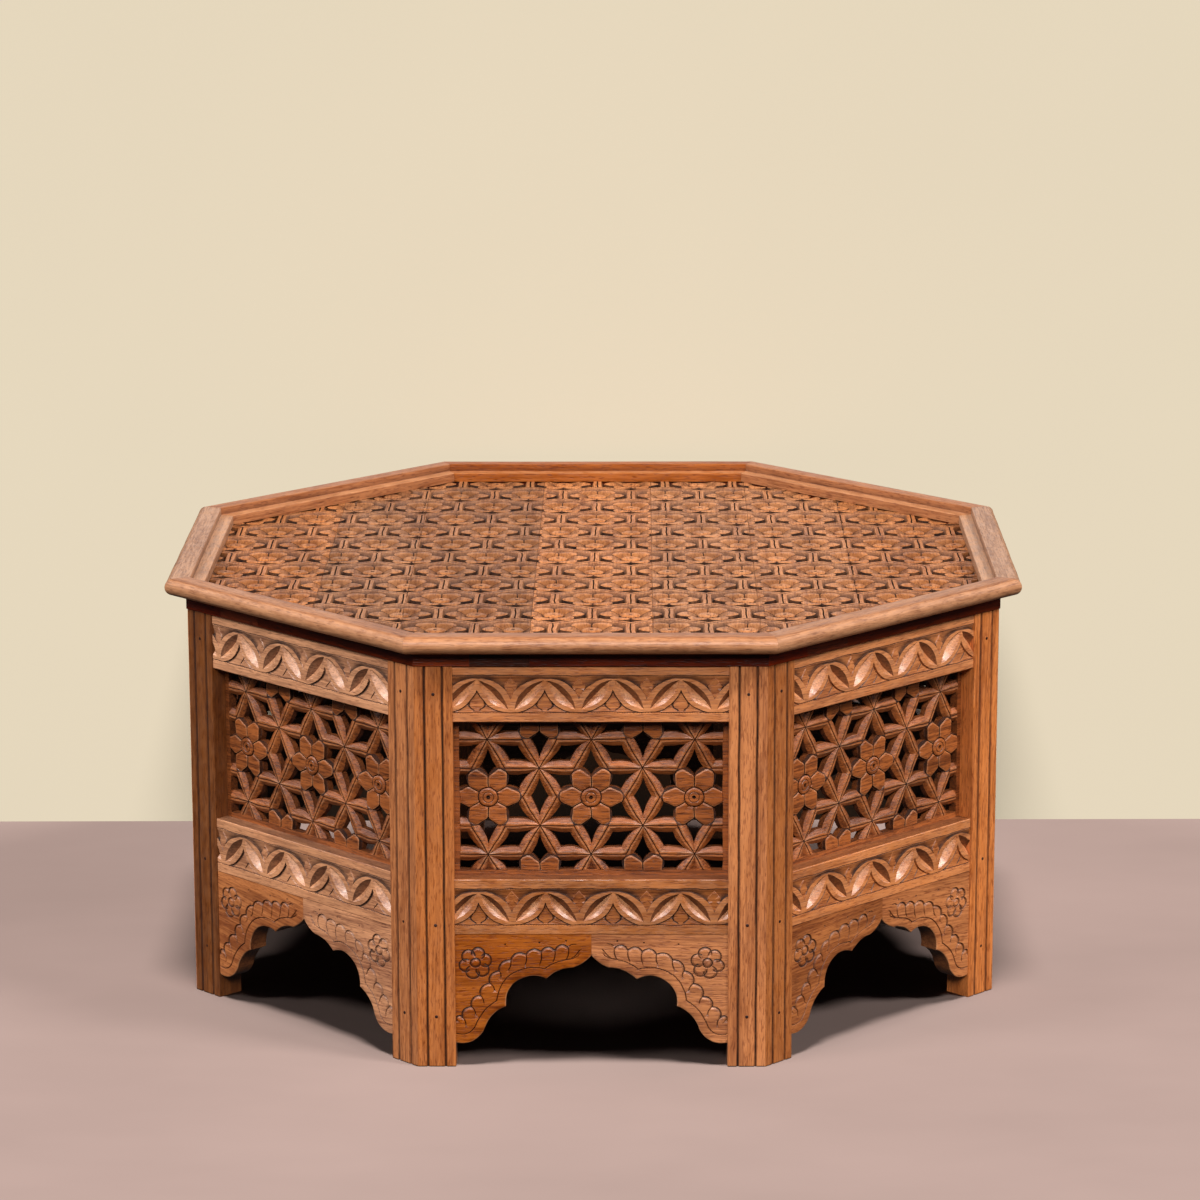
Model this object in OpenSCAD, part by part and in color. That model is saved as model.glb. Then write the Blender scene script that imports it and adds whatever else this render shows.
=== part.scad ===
// Octagonal coffee table: eight framed sides with pierced lattice panels under a tray top.
// Units are millimetres, +Z is up, and the front side faces -Y.
// The origin is on the floor at the centre of the table.

/* [Tray top] */
// Across the flats of the rim, from edge to edge
top_af = 900; // [880:5:960]
// How far the rim overhangs the stiles
overhang = 22.5; // [16:0.5:25]
// Width of the rim moulding seen from above
rim_w = 40; // [36:1:46]
// Thickness of the rim moulding, which is also the diameter of its round outer edge
rim_t = 18; // [16:1:22]
// Width of the ledge that can carry a sheet of glass
ledge_w = 14; // [8:1:16]
// Depth of that ledge below the top of the rim
ledge_d = 8; // [5:1:10]
// Thickness of the carved top boards and of the strip round them
board_t = 16; // [14:1:22]
// Width of the edging strip round the boards
edging_w = 16; // [12:1:17]
// How far the edging strip stands out past the frames below
edging_out = 1; // [0:0.5:2]
// Widths of the top boards from left to right, which are stretched together to fill the top
board_widths = [122, 95, 133, 125, 110, 105, 135]; // [80:1:150]
// Distance from one carved flower to the next along a row
cell_pitch = 79.5; // [72:0.5:88]
// Distance from one row of carved flowers to the next
cell_row = 66.45; // [60:0.05:74]
// Width of the carved bars between the flowers
cell_bar_w = 10.4; // [8:0.2:13]
// Depth of the ground sunk between a flower and its bars
cell_ground_d = 4.5; // [2:0.5:5]
// Where each length of the edging strip is jointed, measured from its middle
edging_joints = [-121, -61]; // [-140:1:140]

/* [Base] */
// Height of the base, from the floor to the underside of the boards
base_h = 420; // [410:5:480]
// Face width of each stile
stile_w = 39; // [35:1:45]
// Thickness of each stile
stile_t = 30; // [28:1:36]
// Width of the V grooves down the stiles
groove_w = 3; // [2:0.5:4]
// Depth of the V grooves down the stiles
groove_d = 2.2; // [1.5:0.1:3]
// Distance of each V groove from the edge of its stile
groove_in = 10.5; // [8:0.5:12]

/* [Rails] */
// Height of the carved top rail and of the carved bottom rail
rail_h = 58; // [50:1:64]
// How far the rails lie behind the face of the stiles
rail_set = 1.5; // [0.5:0.5:4]
// Distance of the scribed lines from the long edges of a rail
scribe_in = 10; // [8:0.5:14]
// Width of a scribed line
scribe_w = 1.2; // [1:0.1:2]
// Depth of a scribed line
scribe_d = 1; // [0.6:0.1:2]
// Distance from one peak of the carved leaves to the next
leaf_period = 68; // [60:1:76]
// Place of the leftmost peak on each side, in the order of the sides from the front
leaf_starts = [-114, -86, -118, -108, -100, -112, -104, -95]; // [-140:1:-80]
// Distance of a leaf's upper tip from the peak, along the rail
leaf_peak_gap = 2.3; // [1:0.1:6]
// Distance of that tip below the upper scribed line
leaf_top_gap = 4.8; // [2:0.1:8]
// Distance of a leaf's lower tip from the middle between two peaks
leaf_valley_gap = 4.2; // [2:0.1:8]
// Distance of that tip above the lower scribed line
leaf_foot_gap = 3.6; // [2:0.1:8]
// Half width of the hollow in a leaf
leaf_half_w = 5.7; // [4:0.1:7]
// Depth of that hollow along its keel
leaf_hollow_d = 4.2; // [2:0.1:5]
// Length of the tenons at the rail ends
tenon_l = 20; // [14:1:24]
// Thickness of the tenons
tenon_t = 10; // [8:1:12]
// Shoulder above and below each tenon
tenon_shoulder = 9; // [6:1:14]

/* [Lattice panel] */
// Height of the opening between the rails, which the lattice fills
lattice_h = 164; // [150:2:174]
// Thickness of the lattice panel
lattice_t = 10; // [8:0.5:11]
// How far the lattice lies behind the face of the stiles
lattice_set = 17; // [14:0.5:17.5]
// Depth of the panel's edge in the grooves of the frame
lattice_tongue = 6; // [4:1:8]
// Width of the plain margin in sight round the lattice
lattice_margin = 5.5; // [4:0.5:8]
// Distance from one star centre to the next
star_pitch = 60; // [52:1:66]
// Distance from a star centre to the sharp corners of the holes round it
star_core = 10; // [8:0.5:12]
// Distance from a flower centre to the corners of the holes round it
flower_core = 21; // [18:0.5:23]
// Half width of a hole at its middle
hole_half_w = 9.3; // [8:0.1:11]
// How much the sides of the bars swell into a hole
bar_swell = 1.2; // [0.5:0.1:2]
// Diameter of the round boss in a flower
boss_dia = 19; // [15:0.5:20]
// Diameter of the drilled dot in a boss
boss_dot_dia = 4; // [3:0.5:6]
// Width of the cuts that part the petals and ring the boss
petal_cut_w = 1.2; // [0.8:0.1:2]
// Depth of those cuts
petal_cut_d = 2.5; // [1:0.5:4]
// Width of the groove along the middle of each bar
bar_groove_w = 1.2; // [0.8:0.1:2]
// Depth of that groove
bar_groove_d = 1.2; // [0.5:0.1:2]

/* [Cusped spandrels] */
// Gap between the floor and the lowest point of the spandrels
foot_clear = 24; // [16:1:40]
// Height of the wood over the middle of the arch
arch_crown = 22.3; // [14:0.1:30]
// Thickness of the spandrel boards
spandrel_t = 22; // [18:1:24]
// Half width of the pointed middle of the arch
point_w = 18; // [14:1:22]
// Height of the pointed middle
point_h = 13.2; // [10:0.2:16]
// Distance of the upper cusp from the middle of the arch
cusp_1_x = 46; // [40:1:50]
// Drop of the upper cusp below the middle of the arch
cusp_1_drop = 25; // [20:1:28]
// Distance of the lower cusp from the middle of the arch
cusp_2_x = 87; // [80:1:92]
// Drop of the lower cusp below the middle of the arch
cusp_2_drop = 54; // [48:1:58]
// Width of the rounded foot beside the stile
toe_w = 30; // [24:1:34]
// Height of the rounded foot
toe_h = 19; // [14:1:22]
// How far the big lobe rises over the line between its two cusps
lobe_rise = 15.5; // [12:0.5:18]

/* [Carcass] */
// Width of the battens under the boards
batten_w = 50; // [40:5:70]
// Thickness of the battens
batten_t = 20; // [16:1:24]
// Distance of the outer battens from the middle one
batten_step = 210; // [180:5:225]
// Length of a corner block along each stile
block_l = 58; // [45:1:64]
// Height of a corner block
block_h = 50; // [40:1:60]
// Depth of the counterbore in a corner block
block_bore_d = 16; // [10:1:20]
// Distance of the screw in a corner block from the corner of the frame
block_screw_in = 13; // [12:0.5:14]
// Diameter of the wood screws
screw_dia = 4; // [3.5:0.5:5]
// How far each screw goes up into the boards
screw_bite = 9; // [7:1:10]
// Diameter of the pegs through the stiles
peg_dia = 3.4; // [2.4:0.2:5]
// Length of the pegs
peg_l = 8; // [5:0.5:9]

/* [Fits] */
// Clearance round a tenon in its mortise
tenon_gap = 0.2; // [0.1:0.1:0.5]
// Clearance round the edge of the lattice panel in its grooves
panel_gap = 0.25; // [0.1:0.05:0.5]
// Clearance round a screw or a peg
pin_gap = 0.1; // [0.05:0.05:0.3]
// Gap left at the ends of the long batten
batten_gap = 0.3; // [0.2:0.1:1]
// Glue line between pieces that meet edge to edge
glue_gap = 0.1; // [0.05:0.05:0.2]

/* [Hidden] */
SIDES = ["front", "front_right", "right", "back_right", "back", "back_left", "left", "front_left"];
function side_nodes(prefix) = [for (s = SIDES) str(prefix, "_", s)];
leg_nodes = [for (i = [1 : 8]) str("leg_", i)];
board_nodes = [for (i = [1 : len(board_widths)]) str("board_", i)];
$fn = 48;
small = 0.01;
spare = 1;

// A regular octagon's half side for half its width across the flats
function half_side(r) = r * tan(22.5);

// Levels, from the floor up
board_top = base_h + board_t;
top_rail_z = base_h - rail_h;
lattice_z = top_rail_z - lattice_h;
bottom_rail_z = lattice_z - rail_h;
arch_z = bottom_rail_z - arch_crown;

// Distances from the middle of the table, square to a side
rim_r = top_af / 2;
base_r = rim_r - overhang;
rail_r = base_r - rail_set;
inner_r = base_r - stile_t;
lattice_r = base_r - lattice_set;
edging_r = base_r + edging_out;
board_r = edging_r - edging_w;

// Distances from the middle of a side, along it
corner_x = half_side(base_r);
frame_x = corner_x - stile_w;

// Tenons sit behind the face at the middle of the rail's thickness
rail_t = stile_t - rail_set;
tenon_r = rail_r - rail_t / 2 + tenon_t / 2;

module on_side(i) {
    rotate([0, 0, 45 * i])
        children();
}

// Everything inside the mitres of one side, less a gap at each mitre
module side_wedge(r, z, h, gap) {
    translate([0, 0, z - spare])
        linear_extrude(h + 2 * spare)
            polygon([[0, 0], [half_side(r) - gap, -r], [gap - half_side(r), -r]]);
}

// Points of an arc from p to q that rises to the left of the line between them, without q itself
function arc(p, q, rise, n) =
    let (
        along = (q - p) / norm(q - p),
        across = [-along[1], along[0]],
        half = 2 * atan(2 * rise / norm(q - p)),
        r = norm(q - p) / (2 * sin(half))
    )
    [for (k = [0 : n - 1])
        let (t = half * (2 * k / n - 1))
        (p + q) / 2 + r * sin(t) * along + (r * cos(t) - r + rise) * across];

// Legs: two mitred stiles each

peg_levels = [
    foot_clear + rail_h / 2,
    bottom_rail_z + scribe_in,
    top_rail_z + rail_h / 2
];
peg_x = frame_x + stile_w / 2;

module stile_section() {
    a = frame_x + groove_in;
    b = corner_x - groove_in;
    polygon([
        [frame_x, -base_r],
        [a - groove_w / 2, -base_r],
        [a, -base_r + groove_d],
        [a + groove_w / 2, -base_r],
        [b - groove_w / 2, -base_r],
        [b, -base_r + groove_d],
        [b + groove_w / 2, -base_r],
        [corner_x - glue_gap / 2, -base_r],
        [half_side(inner_r) - glue_gap / 2, -inner_r],
        [frame_x, -inner_r]
    ]);
}

module mortise(z) {
    translate([frame_x - small, -tenon_r - tenon_gap, z + tenon_shoulder - tenon_gap])
        cube([
            tenon_l + tenon_gap + small,
            tenon_t + 2 * tenon_gap,
            rail_h + 2 * (tenon_gap - tenon_shoulder)
        ]);
}

module peg_hole(z) {
    translate([peg_x, -base_r - small, z])
        rotate([-90, 0, 0])
            cylinder(d = peg_dia + 2 * pin_gap, h = peg_l + pin_gap + small);
}

// The stile at the right-hand end of a side, seen from outside
module stile() {
    difference() {
        linear_extrude(base_h)
            stile_section();
        mortise(top_rail_z);
        mortise(bottom_rail_z);
        for (z = peg_levels)
            peg_hole(z);
        translate([frame_x - small, -lattice_r - panel_gap, lattice_z - lattice_tongue - panel_gap])
            cube([
                lattice_tongue + panel_gap + small,
                lattice_t + 2 * panel_gap,
                lattice_h + 2 * (lattice_tongue + panel_gap)
            ]);
    }
}

module leg(i) {
    color([0.62, 0.36, 0.20]) {
        on_side(i)
            stile();
        on_side(i + 1)
            mirror([1, 0, 0])
                stile();
    }
}

// Rails with their tenons

module rail_blank(z) {
    translate([-frame_x, -rail_r, z])
        cube([2 * frame_x, rail_t, rail_h]);
    translate([-frame_x - tenon_l, -tenon_r, z + tenon_shoulder])
        cube([2 * (frame_x + tenon_l), tenon_t, rail_h - 2 * tenon_shoulder]);
}

module scribed_line(z) {
    translate([-frame_x - small, -rail_r - small, z - scribe_w / 2])
        cube([2 * (frame_x + small), scribe_d + small, scribe_w]);
}

// The groove in a rail's edge that the lattice panel stands in
module panel_groove(z, depth) {
    translate([-frame_x - small, -lattice_r - panel_gap, z])
        cube([2 * (frame_x + small), lattice_t + 2 * panel_gap, depth]);
}

// The tips of the leaf to the right of a peak
leaf_top = [leaf_peak_gap, rail_h - scribe_in - leaf_top_gap];
leaf_foot = [leaf_period / 2 - leaf_valley_gap, scribe_in + leaf_foot_gap];

// The hollow of a leaf is what two cones share, so its sides slope down to a keel
module leaf_hollow() {
    length = norm(leaf_foot - leaf_top);
    across = [leaf_top[1] - leaf_foot[1], leaf_foot[0] - leaf_top[0]] / length;
    r = (length * length / 4 + leaf_half_w * leaf_half_w) / (2 * leaf_half_w);
    translate((leaf_top + leaf_foot) / 2)
        intersection_for (side = [-1, 1])
            translate(side * (r - leaf_half_w) * across)
                translate([0, 0, -leaf_hollow_d])
                    cylinder(r1 = r - leaf_half_w, r2 = r + small, h = leaf_hollow_d + small);
}

// A zigzag of leaves between the scribed lines, all that fit between the stiles
module leaves(z, start) {
    for (x = [start : leaf_period : frame_x], side = [0, 1]) {
        foot_x = x + (1 - 2 * side) * leaf_foot[0];
        if (abs(foot_x) < frame_x && abs(x) < frame_x)
            translate([x, -rail_r, z])
                rotate([90, 0, 0])
                    mirror([side, 0, 0])
                        leaf_hollow();
    }
}

module rail(z, groove_z, leaf_start) {
    color([0.52, 0.27, 0.13])
        difference() {
            rail_blank(z);
            scribed_line(z + scribe_in);
            scribed_line(z + rail_h - scribe_in);
            panel_groove(groove_z, lattice_tongue + panel_gap + small);
            leaves(z, leaf_start);
        }
}

module top_rail(i) {
    on_side(i)
        rail(top_rail_z, top_rail_z - small, leaf_starts[i]);
}

module bottom_rail(i) {
    on_side(i)
        rail(bottom_rail_z, lattice_z - lattice_tongue - panel_gap, leaf_starts[i]);
}

// Pierced lattice panels: stars on a triangular grid, every third one a flower

window_x = frame_x - lattice_margin;
window_h = lattice_h - 2 * lattice_margin;
lattice_mid = lattice_z + lattice_h / 2;
column_step = star_pitch * cos(30);
columns = ceil(frame_x / column_step);
rows = ceil(lattice_h / star_pitch) + columns;

function star_at(i, m) = [column_step * i, star_pitch * (m + i / 2)];
function is_flower(i, m) = (i - m) % 3 == 0;
function core(i, m) = is_flower(i, m) ? flower_core : star_core;
function in_window(p) = abs(p[0]) < window_x && abs(p[1]) < window_h / 2;
function toward(p, c, d) = p + d * (c - p) / norm(c - p);

// One hole between two neighbouring centres, with swollen bars round it
module hole_outline(core_a, core_b) {
    tip_a = [core_a, 0];
    tip_b = [star_pitch - core_b, 0];
    top = [star_pitch / 2, hole_half_w];
    low = [star_pitch / 2, -hole_half_w];
    mid = (tip_a + tip_b) / 2;
    polygon([
        tip_a,
        toward((tip_a + low) / 2, mid, bar_swell),
        low,
        toward((low + tip_b) / 2, mid, bar_swell),
        tip_b,
        toward((tip_b + top) / 2, mid, bar_swell),
        top,
        toward((top + tip_a) / 2, mid, bar_swell)
    ]);
}

module lattice_holes() {
    for (i = [-columns - 1 : columns], m = [-rows : rows], d = [[1, 0], [0, 1], [1, -1]]) {
        a = star_at(i, m);
        b = star_at(i + d[0], m + d[1]);
        if (in_window((a + b) / 2))
            translate(a)
                rotate(atan2(b[1] - a[1], b[0] - a[0]))
                    hole_outline(core(i, m), core(i + d[0], m + d[1]));
    }
}

// Cuts in the face of a flower: a ring round the boss, a dot in it and slots between the petals
module flower_cuts() {
    difference() {
        circle(d = boss_dia + 2 * petal_cut_w);
        circle(d = boss_dia);
    }
    circle(d = boss_dot_dia);
    // Each slot runs out into the tip of a hole
    for (k = [0 : 5])
        rotate(30 + 60 * k)
            translate([boss_dia / 2, -petal_cut_w / 2])
                square([flower_core + petal_cut_w - boss_dia / 2, petal_cut_w]);
}

module face_window() {
    square([2 * window_x, window_h], center = true);
}

function flower_in_sight(p) = abs(p[0]) < window_x && abs(p[1]) < window_h / 2 + flower_core;
function in_reach(p) = abs(p[0]) < window_x + star_pitch && abs(p[1]) < window_h / 2 + star_pitch;

// The whole panel with its edges, pierced inside the plain margin
module lattice_outline() {
    edge = lattice_tongue - panel_gap;
    difference() {
        square([2 * (frame_x + edge), lattice_h + 2 * edge], center = true);
        intersection() {
            face_window();
            lattice_holes();
        }
    }
}

module lattice_flowers() {
    intersection() {
        face_window();
        for (i = [-columns : columns], m = [-rows : rows])
            if (is_flower(i, m) && flower_in_sight(star_at(i, m)))
                translate(star_at(i, m))
                    flower_cuts();
    }
}

// Grooves along the six bars of every star, which meet those of the next stars
module bar_grooves() {
    bar_l = star_pitch / (2 * cos(30));
    intersection() {
        face_window();
        for (i = [-columns : columns], m = [-rows : rows])
            if (!is_flower(i, m) && in_reach(star_at(i, m)))
                translate(star_at(i, m))
                    for (k = [0 : 5])
                        rotate(60 * k)
                            translate([0, -bar_groove_w / 2])
                                square([bar_l + bar_groove_w / 2, bar_groove_w]);
    }
}

module cut_face(depth) {
    translate([0, 0, -depth])
        linear_extrude(depth + small)
            children();
}

module lattice(i) {
    color([0.50, 0.25, 0.12])
        on_side(i)
            translate([0, -lattice_r, lattice_mid])
                rotate([90, 0, 0])
                    difference() {
                        translate([0, 0, -lattice_t])
                            linear_extrude(lattice_t)
                                lattice_outline();
                        cut_face(petal_cut_d)
                            lattice_flowers();
                        cut_face(bar_groove_d)
                            bar_grooves();
                    }
}

// Spandrels: a pair of boards that meet in the middle of a cusped arch

// Rises of the shallow arcs in the edge, and how far the foot curls up at the stile
point_rise = 1.5;
small_rise = 3.2;
toe_belly = 7.5;
toe_round = 1;

// The left board: its edge runs from the middle of the arch down to the stile
module spandrel_outline() {
    peak = [-glue_gap / 2, arch_z];
    shoulder = [-point_w, arch_z - point_h];
    cusp_1 = [-cusp_1_x, arch_z - cusp_1_drop];
    cusp_2 = [-cusp_2_x, arch_z - cusp_2_drop];
    turn = [toe_w - frame_x, foot_clear + toe_h];
    toe = [-frame_x, foot_clear + toe_round];
    polygon(concat(
        arc(peak, shoulder, point_rise, 4),
        arc(shoulder, cusp_1, -small_rise, 6),
        arc(cusp_1, cusp_2, -lobe_rise, 14),
        arc(cusp_2, turn, -small_rise, 6),
        arc(turn, toe, toe_belly, 10),
        [toe, [-frame_x, bottom_rail_z], [-glue_gap / 2, bottom_rail_z]]
    ));
}

module spandrels(i) {
    color([0.58, 0.32, 0.16])
        on_side(i)
            for (side = [0, 1])
                mirror([side, 0, 0])
                    translate([0, -rail_r + spandrel_t, 0])
                        rotate([90, 0, 0])
                            linear_extrude(spandrel_t)
                                spandrel_outline();
}

// Rim mouldings: round outside, rebated inside for a sheet of glass

module rim_section() {
    translate([rim_r - rim_w, 0])
        square([rim_w - rim_t / 2, rim_t - ledge_d]);
    translate([rim_r - rim_w + ledge_w, 0])
        square([rim_w - ledge_w - rim_t / 2, rim_t]);
    translate([rim_r - rim_t / 2, rim_t / 2])
        circle(d = rim_t);
}

module rim(i) {
    color([0.72, 0.45, 0.27])
        on_side(i)
            intersection() {
                translate([half_side(rim_r) + spare, 0, board_top])
                    rotate([90, 0, -90])
                        linear_extrude(2 * (half_side(rim_r) + spare))
                            rim_section();
                side_wedge(rim_r + spare, board_top, rim_t, 0);
            }
}

// Top boards, edging strip, battens and corner blocks

function widths_before(n) = n == 0 ? 0 : widths_before(n - 1) + board_widths[n - 1];
function board_left(n) = board_r * (2 * widths_before(n) / widths_before(len(board_widths)) - 1);
function board_right(n) = board_left(n + 1);

module octagon_plate(r, z, h) {
    translate([0, 0, z])
        linear_extrude(h)
            polygon([for (k = [0 : 7]) [cos(45 * k + 22.5), sin(45 * k + 22.5)] * r / cos(22.5)]);
}

// The carving of the boards: a honeycomb of bars with a six-petalled flower in every cell
cell_half = cell_row / (2 * cos(30));
petal_r = cell_half - cell_bar_w / 2;
cell_rows = ceil(board_r / cell_row);
cell_columns = ceil(board_r / cell_pitch);
// How far out two petals part, as a share of their reach, and how near they keep to their tips
petals_part = 0.76;
tip_turn = 1.5;

// The ground between two petals and a corner of their cell, laid along the line to that corner
module ground_corner() {
    tip = petal_r * [cos(30 - tip_turn), sin(30 - tip_turn)];
    polygon([[petals_part * petal_r, 0], [tip[0], -tip[1]], [petal_r / cos(30), 0], tip]);
}

// The ground of the cells that reach in between two places along X
module cell_ground(left, right) {
    for (k = [-cell_rows : cell_rows], n = [-cell_columns - 1 : cell_columns]) {
        x = cell_pitch * (n + (k % 2 == 0 ? 0.5 : 0));
        if (x > left - cell_pitch && x < right + cell_pitch)
            translate([x, cell_row * k])
                scale([cell_pitch / (2 * cell_half), 1])
                    for (turn = [30 : 60 : 330])
                        rotate(turn)
                            ground_corner();
    }
}

module board(n) {
    left = board_left(n);
    right = board_right(n);
    color(n % 2 == 0 ? [0.66, 0.42, 0.26] : [0.55, 0.33, 0.20])
        difference() {
            intersection() {
                octagon_plate(board_r, base_h, board_t);
                translate([left, -board_r, base_h])
                    cube([right - left, 2 * board_r, board_t]);
            }
            screw_holes(left, right);
            // Up to the rim, and over the joints with the next boards
            intersection() {
                octagon_plate(rim_r - rim_w, board_top - cell_ground_d, cell_ground_d + small);
                translate([0, 0, board_top - cell_ground_d])
                    linear_extrude(cell_ground_d + small)
                        cell_ground(left, right);
            }
        }
}

module edging() {
    cuts = concat([-half_side(edging_r) - spare], edging_joints, [half_side(edging_r) + spare]);
    color([0.42, 0.20, 0.10])
        for (i = [0 : 7], k = [0 : len(cuts) - 2])
            on_side(i)
                intersection() {
                    translate([cuts[k] + glue_gap / 2, -edging_r, base_h])
                        cube([cuts[k + 1] - cuts[k] - glue_gap, edging_w, board_t]);
                    side_wedge(edging_r + spare, base_h, board_t, glue_gap / 2);
                }
}

batten_levels = [-batten_step, 0, batten_step];

// Half length of a batten, up to the rails or to the slanted sides
function batten_reach(y) = min(inner_r, inner_r * sqrt(2) - abs(y) - batten_w / 2) - batten_gap;

module battens() {
    color([0.60, 0.40, 0.24])
        difference() {
            for (y = batten_levels)
                translate([-batten_reach(y), y - batten_w / 2, base_h - batten_t])
                    cube([2 * batten_reach(y), batten_w, batten_t]);
            screw_holes(-rim_r, rim_r);
        }
}

// The corners of the frame's inside, and the screw in each block
inner_corner = inner_r / cos(22.5);

module corner_blocks() {
    color([0.55, 0.36, 0.22])
        difference() {
            for (i = [0 : 7])
                on_side(i + 0.5)
                    translate([0, -inner_corner, base_h - block_h])
                        linear_extrude(block_h)
                            polygon([
                                [0, 0],
                                [block_l * cos(22.5), block_l * sin(22.5)],
                                [-block_l * cos(22.5), block_l * sin(22.5)]
                            ]);
            screw_holes(-rim_r, rim_r);
        }
}

// Wood screws through the battens and the corner blocks, up into the boards

head_dia = 2 * screw_dia;
head_h = screw_dia / 2;

// Section of a screw from its flat head at zero up to its point
module screw_section(length, gap) {
    polygon([
        [0, 0],
        [head_dia / 2 + gap, 0],
        [screw_dia / 2 + gap, head_h],
        [screw_dia / 2 + gap, length - screw_dia],
        [0, length + gap]
    ]);
}

batten_screws = [
    for (y = batten_levels, n = [0 : len(board_widths) - 1])
        let (x = (board_left(n) + board_right(n)) / 2)
        if (abs(x) < batten_reach(y) - head_dia)
            [x, y]
];
block_screws = [
    for (i = [0 : 7])
        (inner_corner - block_screw_in) * [cos(45 * i + 22.5), sin(45 * i + 22.5)]
];
batten_screw_l = batten_t + screw_bite;
block_screw_l = block_h - block_bore_d + screw_bite;

module screw_body(length, gap) {
    rotate_extrude()
        screw_section(length, gap);
}

// A hole for a screw, with a straight bore below its head
module screw_hole(length, bore_d) {
    screw_body(length, pin_gap);
    translate([0, 0, -bore_d - small])
        cylinder(d = head_dia + 2 * pin_gap, h = bore_d + 2 * small);
}

// The holes between two places along X
module screw_holes(left, right) {
    for (p = batten_screws)
        if (p[0] > left && p[0] < right)
            translate([p[0], p[1], base_h - batten_t])
                screw_hole(batten_screw_l, 0);
    for (p = block_screws)
        if (p[0] > left && p[0] < right)
            translate([p[0], p[1], base_h - block_h + block_bore_d])
                screw_hole(block_screw_l, block_bore_d);
}

module screws() {
    color([0.75, 0.72, 0.66]) {
        for (p = batten_screws)
            translate([p[0], p[1], base_h - batten_t])
                screw_body(batten_screw_l, 0);
        for (p = block_screws)
            translate([p[0], p[1], base_h - block_h + block_bore_d])
                screw_body(block_screw_l, 0);
    }
}

// Pegs that pin the tenons and spandrels through the stiles

module pegs() {
    color([0.34, 0.17, 0.09])
        for (i = [0 : 7], side = [0, 1], z = peg_levels)
            on_side(i)
                mirror([side, 0, 0])
                    translate([peg_x, -base_r, z])
                        rotate([-90, 0, 0])
                            cylinder(d = peg_dia, h = peg_l);
}

for (i = [0 : 7]) {
    leg(i);
    top_rail(i);
    bottom_rail(i);
    lattice(i);
    spandrels(i);
    rim(i);
}
for (n = [0 : len(board_widths) - 1])
    board(n);
edging();
battens();
corner_blocks();
screws();
pegs();
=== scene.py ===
import math

import bpy
import numpy as np
from bpy.props import FloatProperty, FloatVectorProperty, IntProperty, PointerProperty
from mathutils import Matrix, Vector, geometry


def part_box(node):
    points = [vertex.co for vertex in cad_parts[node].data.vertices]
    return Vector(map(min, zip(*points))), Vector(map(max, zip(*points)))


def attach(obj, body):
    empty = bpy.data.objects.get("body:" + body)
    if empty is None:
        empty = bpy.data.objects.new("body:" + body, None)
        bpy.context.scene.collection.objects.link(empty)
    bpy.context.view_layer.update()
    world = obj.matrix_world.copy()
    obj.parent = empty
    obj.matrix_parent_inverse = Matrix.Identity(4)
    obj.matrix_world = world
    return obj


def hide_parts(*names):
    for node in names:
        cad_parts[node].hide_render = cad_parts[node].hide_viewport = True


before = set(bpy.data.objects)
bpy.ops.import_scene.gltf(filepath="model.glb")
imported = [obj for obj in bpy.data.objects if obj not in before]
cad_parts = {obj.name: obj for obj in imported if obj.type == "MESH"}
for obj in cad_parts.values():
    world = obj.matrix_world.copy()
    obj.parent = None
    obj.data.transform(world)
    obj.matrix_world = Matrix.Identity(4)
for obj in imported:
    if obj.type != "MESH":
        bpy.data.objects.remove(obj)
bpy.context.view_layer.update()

bl_info = {
    "name": "Carved octagonal coffee table",
    "version": (1, 0, 0),
    "blender": (4, 5, 0),
    "location": "View3D > Sidebar > Table",
    "description": "Dresses the packed frame of the table with hand-carved wood",
    "category": "Object",
}

# Lengths are in millimetres until a mesh is made. A side is drawn as the front one, seen from
# outside: x along it, y up and the height of a carving out of the face.

MM = 0.001
SIDES = (
    "front", "front_right", "right", "back_right", "back", "back_left", "left", "front_left",
)
EIGHTH = math.pi / 4
MITRE = math.tan(EIGHTH / 2)
COS_30 = 0.866
FAR = 1e9
SQUARE = np.array([(-1, -1), (1, -1), (1, 1), (-1, 1)])


def corner(node, end, axis):
    """One coordinate of a CAD node's box, in millimetres."""
    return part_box(node)[end][axis] / MM


BASE_TOP = corner("leg_1", 1, 2)
TABLE_TOP = corner("rim_front", 1, 2)
BOARD_TOP = corner("board_4", 1, 2)
RIM_R = -corner("rim_front", 0, 1)
BASE_R = 427.5
INNER_R = 397.5
RAIL_R = 426.0
RAIL_BACK = -corner("top_rail_front", 1, 1)
FRAME_X = 138.08
CORNER_X = BASE_R * MITRE
RAIL_H = 58.0
TOP_RAIL_Z = BASE_TOP - RAIL_H
BOTTOM_RAIL_Z = corner("bottom_rail_front", 0, 2)
LATTICE_R = 410.5
LATTICE_T = 10.0
LATTICE_MID = (TOP_RAIL_Z + BOTTOM_RAIL_Z + RAIL_H) / 2
EDGING_R = 428.5
BOARD_R = 412.5
BOARD_JOINTS = [corner(f"board_{n}", 0, 0) for n in range(1, 8)] + [corner("board_7", 1, 0)]


# Numbers over arrays


def ramp(value, start, end, low, high):
    """Goes from low at start to high at end, and stays there outside them."""
    return low + (high - low) * np.clip((value - start) / (end - start), 0.0, 1.0)


def ripple(x, y, seed, length):
    """Smooth waves between about -1 and 1 that don't repeat, of about one length."""
    draw = np.random.default_rng(seed)
    total = np.zeros(np.shape(x))
    for _ in range(7):
        turn, phase = draw.uniform(0, 2 * math.pi, 2)
        k = 2 * math.pi / (length * draw.uniform(0.7, 1.6))
        total = total + np.sin(k * (x * math.cos(turn) + y * math.sin(turn)) + phase)
    return total / 3.2


def circle(x, y, r, count):
    """Points round a circle."""
    t = np.arange(count) * 2 * math.pi / count
    return np.column_stack([x + r * np.cos(t), y + r * np.sin(t)])


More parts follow.
